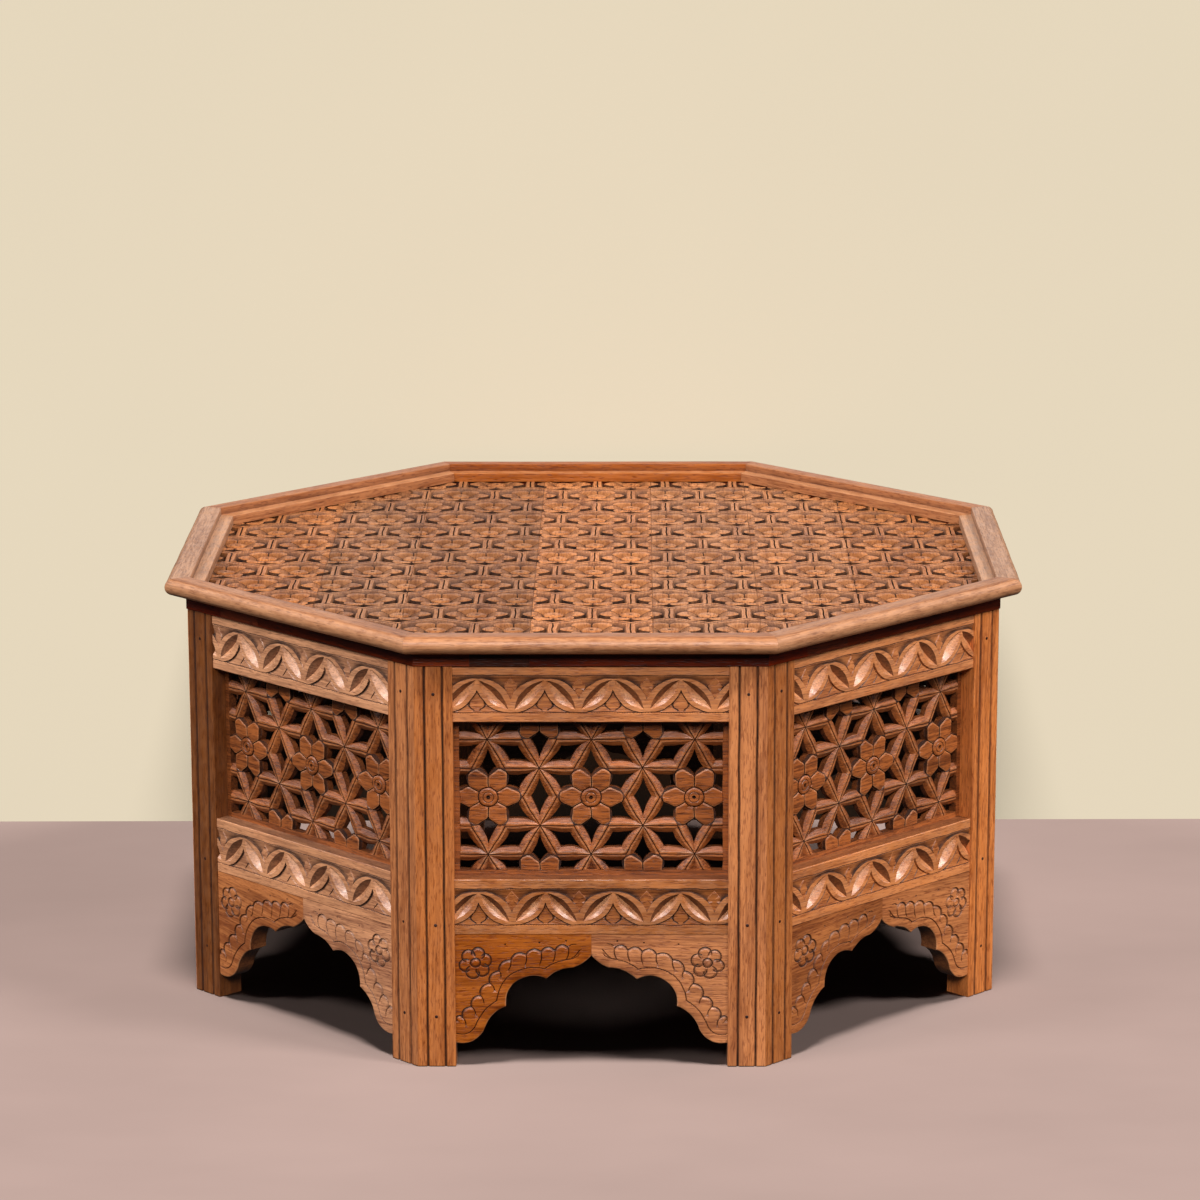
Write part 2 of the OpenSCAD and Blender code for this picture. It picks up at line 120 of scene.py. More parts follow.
def everywhere(x, y):
    """True for every point, for a face with no holes."""
    return np.ones(np.shape(x), bool)


def arc(p, q, rise, count):
    """Points of an arc from p to q that rises to the left of the line between them."""
    p, q = np.array(p, float), np.array(q, float)
    chord = np.hypot(*(q - p))
    along = (q - p) / chord
    across = np.array([-along[1], along[0]])
    half = 2 * math.atan(2 * rise / chord)
    r = chord / (2 * math.sin(half))
    t = half * (2 * np.arange(count + 1) / count - 1)
    return (p + q) / 2 + np.outer(r * np.sin(t), along) + np.outer(r * np.cos(t) - r + rise, across)


class Convex:
    """A convex outline, counter-clockwise, with its signed distance."""

    def __init__(self, points):
        self.points = np.array(points, float)
        way = np.roll(self.points, -1, 0) - self.points
        way /= np.hypot(way[:, 0], way[:, 1])[:, None]
        self.out = np.column_stack([way[:, 1], -way[:, 0]])
        self.reach = (self.points * self.out).sum(1)

    def distance(self, x, y):
        best = np.full(np.shape(x), -FAR)
        for (ox, oy), reach in zip(self.out, self.reach):
            best = np.maximum(best, x * ox + y * oy - reach)
        return best

    def ring(self, grow):
        """The outline's corners, with its sides moved out."""
        found = []
        for k in range(len(self.points)):
            rows = np.array([self.out[k - 1], self.out[k]])
            found.append(np.linalg.solve(rows, [self.reach[k - 1] + grow, self.reach[k] + grow]))
        return np.array(found)


class Lens:
    """A leaf shape between two tips, with its signed distance."""

    def __init__(self, p, q, half_width):
        self.p, self.q = np.array(p, float), np.array(q, float)
        self.half = np.hypot(*(self.q - self.p)) / 2
        self.r = (self.half**2 + half_width**2) / (2 * half_width)
        self.along = (self.q - self.p) / (2 * self.half)
        self.across = np.array([-self.along[1], self.along[0]])
        self.mid = (self.p + self.q) / 2
        self.off = self.r - half_width

    def from_centre(self, x, y, s):
        """How far points are from the centre of one of the two arcs, s being -1 or 1."""
        way = s * self.off * self.across
        return np.hypot(x - self.mid[0] - way[0], y - self.mid[1] - way[1])

    def distance(self, x, y):
        return np.maximum(*(self.from_centre(x, y, s) for s in (-1, 1))) - self.r

    def hollow(self, x, y, upper, lower):
        """Depth of a V cut between the arcs, for a slope from each, and if it is on the upper."""
        down = [
            slope * (self.r - self.from_centre(x, y, s)) for s, slope in ((-1, upper), (1, lower))
        ]
        return np.maximum(np.minimum(*down), 0), down[0] < down[1]

    def keel(self, upper, lower, count):
        """The bottom of that cut, as points from tip to tip."""
        reach = np.linspace(-1, 1, 81) * (self.r - self.off)
        found = [self.p]
        for t in np.linspace(-1, 1, count + 1)[1:-1] * self.half:
            spots = self.mid + t * self.along + reach[:, None] * self.across
            depth, _ = self.hollow(spots[:, 0], spots[:, 1], upper, lower)
            found.append(spots[np.argmax(depth)])
        return np.array(found + [self.q])

    def ring(self, count):
        """Points round the leaf, a count of them on each arc."""
        return np.vstack([
            arc(self.q, self.p, self.r - self.off, count)[:-1],
            arc(self.p, self.q, self.r - self.off, count)[:-1],
        ])


# A face is drawn as crease lines, triangulated, and lifted to its carved height


def split(points, spacing, closed=False):
    """Short pieces of a line, as rows of both ends."""
    p = np.array(points, float)
    if closed:
        p = np.vstack([p, p[:1]])
    rows = []
    for a, b in zip(p[:-1], p[1:]):
        n = max(1, math.ceil(np.hypot(*(b - a)) / spacing))
        q = a + (b - a) * np.linspace(0, 1, n + 1)[:, None]
        rows.append(np.hstack([q[:-1], q[1:]]))
    return np.vstack(rows)


def placed(rows, angle=0.0, x=0.0, y=0.0, flip=1):
    """Pieces of line mirrored across x (flip -1), turned and moved."""
    c, s = math.cos(angle), math.sin(angle)
    along, across = (rows.reshape(-1, 2) * [1, flip]).T
    turned = np.column_stack([along * c - across * s + x, along * s + across * c + y])
    return turned.reshape(-1, 4)


def clipped(rows, outline):
    """What lies inside a convex counter-clockwise outline."""
    a, b = rows[:, :2], rows[:, 2:]
    low, high = np.zeros(len(rows)), np.ones(len(rows))
    for p, q in zip(outline, np.roll(outline, -1, 0)):
        normal = np.array([p[1] - q[1], q[0] - p[0]]) / np.hypot(*(q - p))
        da, db = (a - p) @ normal + 1e-5, (b - p) @ normal + 1e-5
        cross = np.divide(da, da - db, out=np.zeros_like(da), where=np.abs(da - db) > 1e-12)
        low = np.where((da < 0) & (db >= 0), np.maximum(low, cross), low)
        high = np.where((da >= 0) & (db < 0), np.minimum(high, cross), high)
        high = np.where((da < 0) & (db < 0), -1.0, high)
    keep = high - low > 1e-4
    d = b - a
    return np.hstack([a + d * low[:, None], a + d * high[:, None]])[keep]


class Carving:
    """A carved face: points in its plane, their height, triangles, and the painted light and
    staining at their corners.
    """

    def __init__(self, outline, lines, relief, inside, fill, inner=None):
        outline = np.array(outline, float)
        rows = [split(outline, fill, closed=True)]
        if lines:
            limit = outline if inner is None else inner
            rows.append(clipped(np.vstack(lines), limit))
        rows = np.round(np.vstack(rows), 3)
        marks = rows.reshape(-1, 2)
        corners, index = np.unique(marks, axis=0, return_inverse=True)
        pairs = np.unique(np.sort(index.reshape(-1, 2), 1), axis=0)
        pairs = pairs[pairs[:, 0] != pairs[:, 1]]
        extra = self.spread(outline, rows, fill)
        points = np.vstack([corners, extra[inside(extra[:, 0], extra[:, 1])]])
        flat, _, faces, *_ = geometry.delaunay_2d_cdt(
            [Vector(p) for p in points], pairs.tolist(), [], 0, 1e-3, False
        )
        flat, faces = np.array(flat), np.array([f for f in faces if len(f) == 3])
        p, q, r = (flat[faces[:, k]] for k in range(3))
        area = (q[:, 0] - p[:, 0]) * (r[:, 1] - p[:, 1]) - (q[:, 1] - p[:, 1]) * (r[:, 0] - p[:, 0])
        faces[area < 0] = faces[area < 0][:, ::-1]
        mid = (p + q + r) / 3
        faces = faces[(np.abs(area) > 1e-6) & inside(mid[:, 0], mid[:, 1])]
        used, faces = np.unique(faces, return_inverse=True)
        self.flat, self.faces = flat[used], faces.reshape(-1, 3)
        self.height, _ = relief(self.flat[:, 0], self.flat[:, 1])
        # Taken a little inside each triangle, so the two sides of a crease keep their own painted
        # shade or highlight
        spots = self.flat[self.faces]
        spots = spots + 0.25 * (spots.mean(1, keepdims=True) - spots)
        self.stain = relief(spots[..., 0], spots[..., 1])[1]

    @staticmethod
    def spread(outline, rows, fill):
        """Points between the lines, in even rows, none close to a line."""
        low, high = outline.min(0), outline.max(0)
        xs = np.arange(low[0] + fill / 2, high[0], fill)
        ys = np.arange(low[1] + fill / 2, high[1], fill * COS_30)
        gx, gy = np.meshgrid(xs, ys)
        gx = gx + np.where(np.arange(len(ys)) % 2, fill / 4, -fill / 4)[:, None]
        grid = np.column_stack([gx.ravel(), gy.ravel()])
        cell = fill * 0.45
        t = np.linspace(0, 1, 4)
        way = rows[:, None, 2:] - rows[:, None, :2]
        near = (rows[:, None, :2] + way * t[None, :, None]).reshape(-1, 2)
        size = np.ceil((high - low) / cell).astype(int) + 4
        full = np.zeros(size, bool)
        at = np.floor((near - low) / cell).astype(int) + 2
        full[at[:, 0], at[:, 1]] = True
        wide = full.copy()
        for dx in (-1, 0, 1):
            for dy in (-1, 0, 1):
                wide |= np.roll(np.roll(full, dx, 0), dy, 1)
        at = np.floor((grid - low) / cell).astype(int) + 2
        grid = grid[~wide[at[:, 0], at[:, 1]]]
        shape = Convex(outline)
        return grid[shape.distance(grid[:, 0], grid[:, 1]) < -fill * 0.3]

    def part(self, inside):
        """The part of the carving whose triangles lie inside."""
        mid = self.flat[self.faces].mean(1)
        kept = inside(mid[:, 0], mid[:, 1])
        used, faces = np.unique(self.faces[kept], return_inverse=True)
        piece = object.__new__(Carving)
        piece.flat, piece.faces = self.flat[used], faces.reshape(-1, 3)
        piece.height, piece.stain = self.height[used], self.stain[kept]
        return piece


# Painted shade on the back of a carved body and on its walls, such as the sides of the lattice's
# holes
BACK_STAIN, WALL_STAIN = 0.85, 0.55


def shut(carving, thickness, wobble=None):
    """A closed body behind a carved face: its points, faces, and the painted light and staining at
    their corners, with painted shade on its back and walls.
    """
    n, f = len(carving.flat), carving.faces
    sides = np.vstack([f[:, [0, 1]], f[:, [1, 2]], f[:, [2, 0]]])
    _, back, count = np.unique(np.sort(sides, 1), axis=0, return_inverse=True, return_counts=True)
    border = sides[count[back.ravel()] == 1]
    flat, lift = (carving.flat, carving.height) if wobble is None else wobble(carving)
    top = np.column_stack([flat, lift])
    low = np.column_stack([flat, np.full(n, -thickness)])
    walls = np.column_stack([border[:, 1], border[:, 0], border[:, 0] + n, border[:, 1] + n])
    faces = f.tolist() + (f[:, ::-1] + n).tolist() + walls.tolist()
    stain = [carving.stain.ravel(), np.full(f.size, BACK_STAIN), np.full(walls.size, WALL_STAIN)]
    return np.vstack([top, low]), faces, np.concatenate(stain)


# Making pieces


def spoken(slot):
    """The name of the wood that fills a slot."""
    return slot.replace("_", " ").capitalize()


class Body:
    """Solids gathered into one piece, with what the wood shaders read."""

    def __init__(self):
        self.points, self.faces, self.facts, self.stains, self.size = [], [], [], [], 0

    def add(self, points, faces, grain, stain=0.0, tone=0.0, warmth=0.0):
        """Adds a solid; its painted light and staining is one number, or one a point, or one a
        corner of a face.
        """
        points = np.array(points, float)
        n = len(points)
        corners = np.array([v for f in faces for v in f])
        if np.ndim(stain) == 0:
            stain = np.full(n, float(stain))
        self.stains.append(stain if len(stain) == len(corners) else stain[corners])
        self.points.append(points)
        self.faces += [[v + self.size for v in f] for f in faces]
        looks = [np.broadcast_to(tone, n), np.broadcast_to(warmth, n)]
        self.facts.append(np.column_stack([np.array(grain, float), *looks]))
        self.size += n

    def piece(self, name, nodes, slot, crease=30.0):
        """Makes the mesh, sharp where it turns more than crease, in place of its CAD nodes."""
        mesh = bpy.data.meshes.new(name)
        mesh.from_pydata((np.vstack(self.points) * MM).tolist(), [], self.faces)
        facts = np.vstack(self.facts)
        layer = mesh.attributes.new("grain", "FLOAT_VECTOR", "POINT")
        layer.data.foreach_set("vector", (facts[:, :3] * MM).astype(np.float32).ravel())
        for key, domain, values in (
            # Painted light: this attribute darkens cuts, walls, backs and shaded facets and
            # lightens lit facets and edges, partly as staining
            ("stain", "CORNER", np.concatenate(self.stains)),
            ("tone", "POINT", facts[:, 3]),
            ("warmth", "POINT", facts[:, 4]),
        ):
            layer = mesh.attributes.new(key, "FLOAT", domain)
            layer.data.foreach_set("value", values.astype(np.float32))
        mesh.shade_smooth()
        mesh.set_sharp_from_angle(angle=math.radians(crease))
        mesh.materials.append(bpy.data.materials[spoken(slot)])
        made = bpy.data.objects.new(name, mesh)
        bpy.context.scene.collection.objects.link(made)
        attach(made, "root")
        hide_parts(*nodes)
        return made


def on_side(points, index):
    """Points of the front side turned to another side."""
    c, s = math.cos(EIGHTH * index), math.sin(EIGHTH * index)
    x, y, z = np.array(points, float).T
    return np.column_stack([x * c - y * s, x * s + y * c, z])


def standing(points, r, z, index):
    """A face drawn as x, up and out, stood up on a side at a distance from the middle."""
    x, up, out = np.array(points, float).T
    return on_side(np.column_stack([x, -(r + out), up + z]), index)


def run_of_grain(points, seed, tilt=0.02):
    """Places in a plank of its own for points given as along, across and through."""
    draw = np.random.default_rng(seed)
    a = draw.uniform(-tilt, tilt)
    p = np.array(points, float)
    c, s = math.cos(a), math.sin(a)
    turned = np.column_stack([p[:, 0] * c - p[:, 1] * s, p[:, 0] * s + p[:, 1] * c, p[:, 2]])
    return turned + draw.uniform(-3000, 3000, 3)


def tones(seed, spread):
    """How light and how warm one plank is."""
    draw = np.random.default_rng(seed)
    return draw.uniform(-spread, spread), draw.uniform(-spread, spread)


# How long the waves are in which a hand-cut line strays, and those of the chisel's marks
STRAY_WAVES = (28, 8)
CHISEL_WAVES = (14, 4)


def hand_cut(seed, sideways, lift, edge):
    """Moves a carving a little, as a hand and a chisel do, and holds it at its outline."""
    long, short = STRAY_WAVES
    wide, narrow = CHISEL_WAVES

    def move(carving):
        x, y = carving.flat.T
        low, high = carving.flat.min(0), carving.flat.max(0)
        inset = np.minimum(np.minimum(x - low[0], high[0] - x), np.minimum(y - low[1], high[1] - y))
        hold = np.clip(inset / edge, 0, 1)
        dx = sideways * (ripple(x, y, seed, long) + 0.35 * ripple(x, y, seed + 1, short))
        dy = sideways * (ripple(x, y, seed + 2, long) + 0.35 * ripple(x, y, seed + 3, short))
        up = lift * ripple(x, y, seed + 4, wide) + 0.4 * lift * ripple(x, y, seed + 5, narrow)
        return np.column_stack([x + dx * hold, y + dy * hold]), carving.height + up * hold

    return move


def rings(radii):
    """Circles round the origin as pieces of line, each given as its radius and its corners."""
    return [split(circle(0, 0, r, count), 9, closed=True) for r, count in radii]


# Lattice: stars on a triangular grid, every third one a flower

STAR_PITCH = 60.0
TIP = STAR_PITCH / math.sqrt(3)
STAR_CORE, FLOWER_CORE = 10.0, 21.0
HOLE_HALF = 9.3
HOLE_HALF_STEP = STAR_PITCH / 2 * math.tan(math.pi / 6) - HOLE_HALF
HOLE_SWELL = 1.1
WINDOW = (FRAME_X - 5.5, 76.5)
PANEL = (141.0, 85.0)
MARGIN_DEPTH = 0.4
BAR_EDGE = 6.9
PETAL = Convex([
    (8.5, -4.3), (18.2, -9.9), (20.2, -9.8), (30.3, -4.9), (31.6, -2.4), (31.6, 2.4), (30.3, 4.9),
    (20.2, 9.8), (18.2, 9.9), (8.5, 4.3),
])
# A flower's boss has a ring cut round it, a fine line on it and a hole in its middle
BOSS_R, BOSS_ROUND = 9.5, 1.3
BOSS_HIGH, BOSS_EDGE = 0.9, 0.1
RING_R, RING_SLOPE, RING_DEPTH = 10.7, 0.3, 2.2
LINE_R, LINE_DEPTH = 5.4, 0.7
DOT_R, DOT_FLOOR_R, DOT_DEPTH = 2.1, 1.7, 3.0
BOSS_RINGS = (
    (RING_R, 30), (RING_R - RING_SLOPE, 30), (BOSS_R + RING_SLOPE, 30), (BOSS_R, 30),
    (BOSS_R - BOSS_ROUND, 28), (6.1, 20), (LINE_R, 20), (4.7, 18), (DOT_R, 12), (DOT_FLOOR_R, 12),
)


def nearest(x, y, a1, a2, origin=(0.0, 0.0)):
    """The closest centre of a grid: its two steps, and the way from it."""
    px, py = x - origin[0], y - origin[1]
    det = a1[0] * a2[1] - a1[1] * a2[0]
    fi = np.rint((px * a2[1] - py * a2[0]) / det)
    fj = np.rint((py * a1[0] - px * a1[1]) / det)
    best = np.full(np.shape(x), FAR)
    found = [np.zeros(np.shape(x)) for _ in range(4)]
    for di in (-1, 0, 1):
        for dj in (-1, 0, 1):
            i, j = fi + di, fj + dj
            dx, dy = px - i * a1[0] - j * a2[0], py - i * a1[1] - j * a2[1]
            d = np.hypot(dx, dy)
            closer = d < best - 1e-9
            best = np.where(closer, d, best)
            found = [np.where(closer, new, old) for new, old in zip((i, j, dx, dy), found)]
    return found


def sixfold(dx, dy):
    """A point as along and beside the closest of six arms, with its distance from the centre."""
    angle = np.arctan2(dy, dx)
    off = angle - np.rint(angle / (math.pi / 3)) * (math.pi / 3)
    r = np.hypot(dx, dy)
    return r * np.cos(off), r * np.abs(np.sin(off)), r


COLUMN = (STAR_PITCH * math.cos(math.pi / 6), STAR_PITCH / 2)
ROW = (0.0, STAR_PITCH)


def hole_side(core):
    """Ends, centre and radius of the swollen side of a hole, from its sharp tip to its waist."""
    tip = np.array([core * math.cos(math.pi / 6), core * math.sin(math.pi / 6)])
    waist = np.array([TIP - HOLE_HALF_STEP / 2, HOLE_HALF_STEP * math.cos(math.pi / 6)])
    chord = np.hypot(*(waist - tip))
    along = (waist - tip) / chord
    r = ((chord / 2) ** 2 + HOLE_SWELL**2) / (2 * HOLE_SWELL)
    centre = (tip + waist) / 2 + np.array([along[1], -along[0]]) * (r - HOLE_SWELL)
    return tip, waist, centre, r, along


def in_hole(dx, dy, u, v, flower, x, y):
    """True where a hole is pierced through the panel."""
    open_ = np.zeros(np.shape(x), bool)
    for core, chosen in ((STAR_CORE, ~flower), (FLOWER_CORE, flower)):
        tip, _, (cx, cy), r, along = hole_side(core)
        beyond = along[0] * (v - tip[1]) - along[1] * (u - tip[0]) > 0
        open_ |= chosen & beyond & (np.hypot(u - cx, v - cy) > r)
    sector = (np.floor(np.arctan2(dy, dx) / (math.pi / 3)) + 0.5) * math.pi / 3
    mx, my = x - dx + STAR_PITCH / 2 * np.cos(sector), y - dy + STAR_PITCH / 2 * np.sin(sector)
    return open_ & (np.abs(mx) < WINDOW[0]) & (np.abs(my) < WINDOW[1])


def strip_half(u, sizes):
    """Half the width of the flat strip along a bar, which narrows towards a star's middle."""
    return sizes.bar_flat / MM * ramp(u, 2.0, 15.0, 0.35, 1.0)


def boss_relief(r):
    """Height of a flower's boss, and the painted shade in its cut line and in its hole."""
    off_line = np.abs(r - LINE_R)
    z = ramp(r, BOSS_R - BOSS_ROUND, BOSS_R, BOSS_HIGH, BOSS_EDGE)
    z = z - LINE_DEPTH * np.clip(1 - off_line / 0.7, 0, 1) + ramp(r, 0, DOT_R, -0.2, 0)
    z = np.where(r < DOT_R, ramp(r, DOT_FLOOR_R, DOT_R, -DOT_DEPTH, 0.8), z)
    return z, 0.8 * np.clip(1 - off_line / 0.8, 0, 1) + ramp(r, 1.8, 2.3, 1.0, 0)


def lattice_relief(sizes):
    """Height of the lattice's face for a place on it, and its painted light: painted shade in the
    grooves, down the bevels, round the petals, in the rings and holes of the bosses, painted
    highlights along the flats' edges and round the petals' rims, and a little darker margin round
    the window.
    """
    groove_w, groove_d = sizes.groove_width / MM / 2, sizes.groove_depth / MM
    bevel_d = sizes.bar_bevel / MM

    def relief(x, y):
        i, m, dx, dy = nearest(x, y, COLUMN, ROW)
        flower = (i - m) % 3 == 0
        u, v, r = sixfold(dx, dy)
        beside = np.where(flower, COS_30 * (TIP - u) + 0.5 * v, v)
        flat = strip_half(np.where(flower, TIP, u), sizes)
        groove = np.clip(1 - beside / groove_w, 0, 1)
        fall = np.clip((beside - flat) / (BAR_EDGE - flat), 0, 1)
        z = -groove_d * groove - bevel_d * fall
        # Painted shade in the groove and down the bevels, and a painted highlight along the edge of
        # each flat
        worn = 0.5 * np.clip(1 - np.abs(beside - flat) / 0.5, 0, 1)
        stain = np.where(groove > 0.05, 1.0, 0.24 * fall - worn)
        # The petals lean a little, each its own way
        edge = PETAL.distance(u, v)
        lean = np.sin(5.1 * i + 7.7 * m + 2.3 * np.rint(np.arctan2(dy, dx) / (math.pi / 3)))
        petal = ramp(edge, -1.2, 0, 0.3, -0.3) - 0.3 * ramp(r, 16, 10, 0, 1)
        petal = petal + 0.4 * lean * (u - 20) / 12
        z_petal = np.where(edge > 0, ramp(edge, 0, 0.5, 0, 1) * (z - petal) + petal, petal)
        z_petal = np.where((edge > 0.5) & (r < FLOWER_CORE), -bevel_d, z_petal)
        # Painted shade on the ground round each petal, and a painted highlight round its rim
        s_petal = np.where(edge > 0.04, 0.95, ramp(edge, -0.6, 0, 0.0, -0.4))
        z_boss, s_boss = boss_relief(r)
        z_ring = np.where(
            r < (BOSS_R + RING_R) / 2,
            ramp(r, BOSS_R, BOSS_R + RING_SLOPE, BOSS_EDGE, -RING_DEPTH),
            ramp(r, RING_R - RING_SLOPE, RING_R, -RING_DEPTH, -0.4),
        )
        z_flower = np.where(r < BOSS_R, z_boss, np.where(r < RING_R, z_ring, z_petal))
        # Painted shade in the ring cut round each boss
        s_flower = np.where(r < BOSS_R, s_boss, np.where(r < RING_R, 0.95, s_petal))
        z, stain = np.where(flower, z_flower, z), np.where(flower, s_flower, stain)
        inset = np.minimum(WINDOW[0] - np.abs(x), WINDOW[1] - np.abs(y))
        sunk = ramp(inset, 0, 0.5, 0, 1) * (z + MARGIN_DEPTH) - MARGIN_DEPTH
        # The margin round the window is a little darker
        return np.where(inset > 0, sunk, -MARGIN_DEPTH), np.where(inset > 0, stain, 0.1)

    return relief


def lattice_carving(sizes):
    """The pierced panel's face."""
    step = 3.2
    groove = sizes.groove_width / MM / 2
    flat = sizes.bar_flat / MM
    star, bloom = [], []
    us = np.linspace(2.2, TIP, 9)
    halves = strip_half(us, sizes)
    ok = (halves <= us * math.tan(math.pi / 6)) & (halves <= (TIP - us) * math.sqrt(3) + 1e-6)
    us, halves = us[ok], halves[ok]
    end = (TIP - flat / math.sqrt(3), flat)
    star.append(split([(0, 0), (TIP, 0)], step))
    star.append(split([(groove * 1.73, groove), (TIP - groove / 1.73, groove)], step))
    star.append(split(np.vstack([np.column_stack([us, halves]), [end]]), step))
    star.append(split([(0, 0), (STAR_CORE * COS_30, STAR_CORE / 2)], step))
    for lines, core in ((star, STAR_CORE), (bloom, FLOWER_CORE)):
        tip, waist, *_ = hole_side(core)
        lines.append(split(arc(tip, waist, HOLE_SWELL, 5), step))
        lines.append(split([(TIP, 0), waist], step))
    seam = [(r * COS_30, r / 2) for r in (RING_R, FLOWER_CORE)]
    bloom += [split(seam, 2.0), split([end, (TIP - flat / COS_30, 0)], step)]
    half_petal = np.array([(-5.0, 0.0), (40.0, 0.0), (40.0, 20.0), (-5.0, 20.0)])
    for grow in (-1.5, 0.0, 0.5):
        ring = clipped(split(PETAL.ring(grow), 2.0, closed=True), half_petal)
        mid_x, mid_y = (ring[:, 0] + ring[:, 2]) / 2, (ring[:, 1] + ring[:, 3]) / 2
        sector = ring[mid_y < mid_x * 0.5774 + 0.02]
        bloom.append(sector[np.hypot(sector[:, 0], sector[:, 1]) > RING_R])
    bosses = rings(BOSS_RINGS)
    star, bloom = np.vstack(star), np.vstack(bloom)
    lines = []
    for i in range(-4, 5):
        for m in range(-6, 7):
            x, y = COLUMN[0] * i, COLUMN[1] * i + ROW[1] * m
            if abs(x) > WINDOW[0] + TIP or abs(y) > WINDOW[1] + TIP:
                continue
            blossom = (i - m) % 3 == 0
            if blossom:
                lines += [placed(r, 0, x, y) for r in bosses]
            for k in range(6):
                for flip in (1, -1):
                    lines.append(placed(bloom if blossom else star, k * math.pi / 3, x, y, flip))
    window = SQUARE * WINDOW
    for outline in (window, window * (1 - 0.5 / np.array(WINDOW))):
        lines.append(split(outline, step, closed=True))

    def inside(x, y):
        i, m, dx, dy = nearest(x, y, COLUMN, ROW)
        u, v, _ = sixfold(dx, dy)
        shown = (np.abs(x) < WINDOW[0]) & (np.abs(y) < WINDOW[1])
        return ~(in_hole(dx, dy, u, v, (i - m) % 3 == 0, x, y) & shown)

    return Carving(SQUARE * PANEL, lines, lattice_relief(sizes), inside, 3.6, window)


# Rails: a zigzag of hollowed leaves between two scribed lines

LEAF_PERIOD = 68.0
SCRIBE_HALF = 0.7
RAIL_ARRIS = 0.8
BAND_LOW, BAND_H = 10.0, 38.0
LEAF_IN = (33.3, 34.9, 35.0)
LEAF_OUT = (3.2, 2.0, 32.9)
SCOOP_HALF = 6.7
SCOOP = Lens((1.2, 33.6), (30.8, 3.3), SCOOP_HALF)
KEEL_SHARE = 0.48
CHIP_BASE, CHIP_DEPTH = 20.0, 3.2
NOTCH_DEPTH, SLASH_DEPTH, SCRIBE_DEPTH = 3.6, 2.0, 1.3
NOTCH = (8.8, 9.2, 2.1)
# What stands in the V between two leaves, and the slash under them: on the diamond sides a diamond
# and two slashes with notches, and on the plain sides a flame and a single slash on one side
FIGURE_SUNK, FIGURE_DOME = 0.3, 0.7
DIAMOND = Convex([(34.0, 15.0), (41.0, 26.8), (34.0, 35.0), (27.0, 26.8)])
FLAME = Convex([(34.0, 14.6), (39.4, 25.0), (34.0, 35.0), (28.6, 25.0)])
TWO_SLASHES = ((8.8, 8.2), (6.8, 5.0), (2.8, 2.2))
ONE_SLASH = ((6.0, 8.8), (4.0, 6.2), (1.6, 3.4))


def from_piece(x, y, a, b):
    """How far points are from a straight piece of line."""
    (ax, ay), (bx, by) = a, b
    t = ((x - ax) * (bx - ax) + (y - ay) * (by - ay)) / ((bx - ax) ** 2 + (by - ay) ** 2)
    t = np.clip(t, 0, 1)
    return np.hypot(x - ax - t * (bx - ax), y - ay - t * (by - ay))


def line_distance(x, y, points):
    """How far points are from a line of several pieces."""
    best = np.full(np.shape(x), FAR)
    for a, b in zip(points[:-1], points[1:]):
        best = np.minimum(best, from_piece(x, y, a, b))
    return best


def arris(y, height, soft):
    """How far a softened long edge drops."""
    inset = np.minimum(y, height - y)
    return -soft * np.clip(1 - inset / soft, 0, 1) ** 2


def scoop_slopes(sizes):
    """How steeply the hollow of a leaf falls from its upper and from its lower edge."""
    depth = sizes.scoop_depth / MM / (2 * SCOOP_HALF)
    return depth / KEEL_SHARE, depth / (1 - KEEL_SHARE)


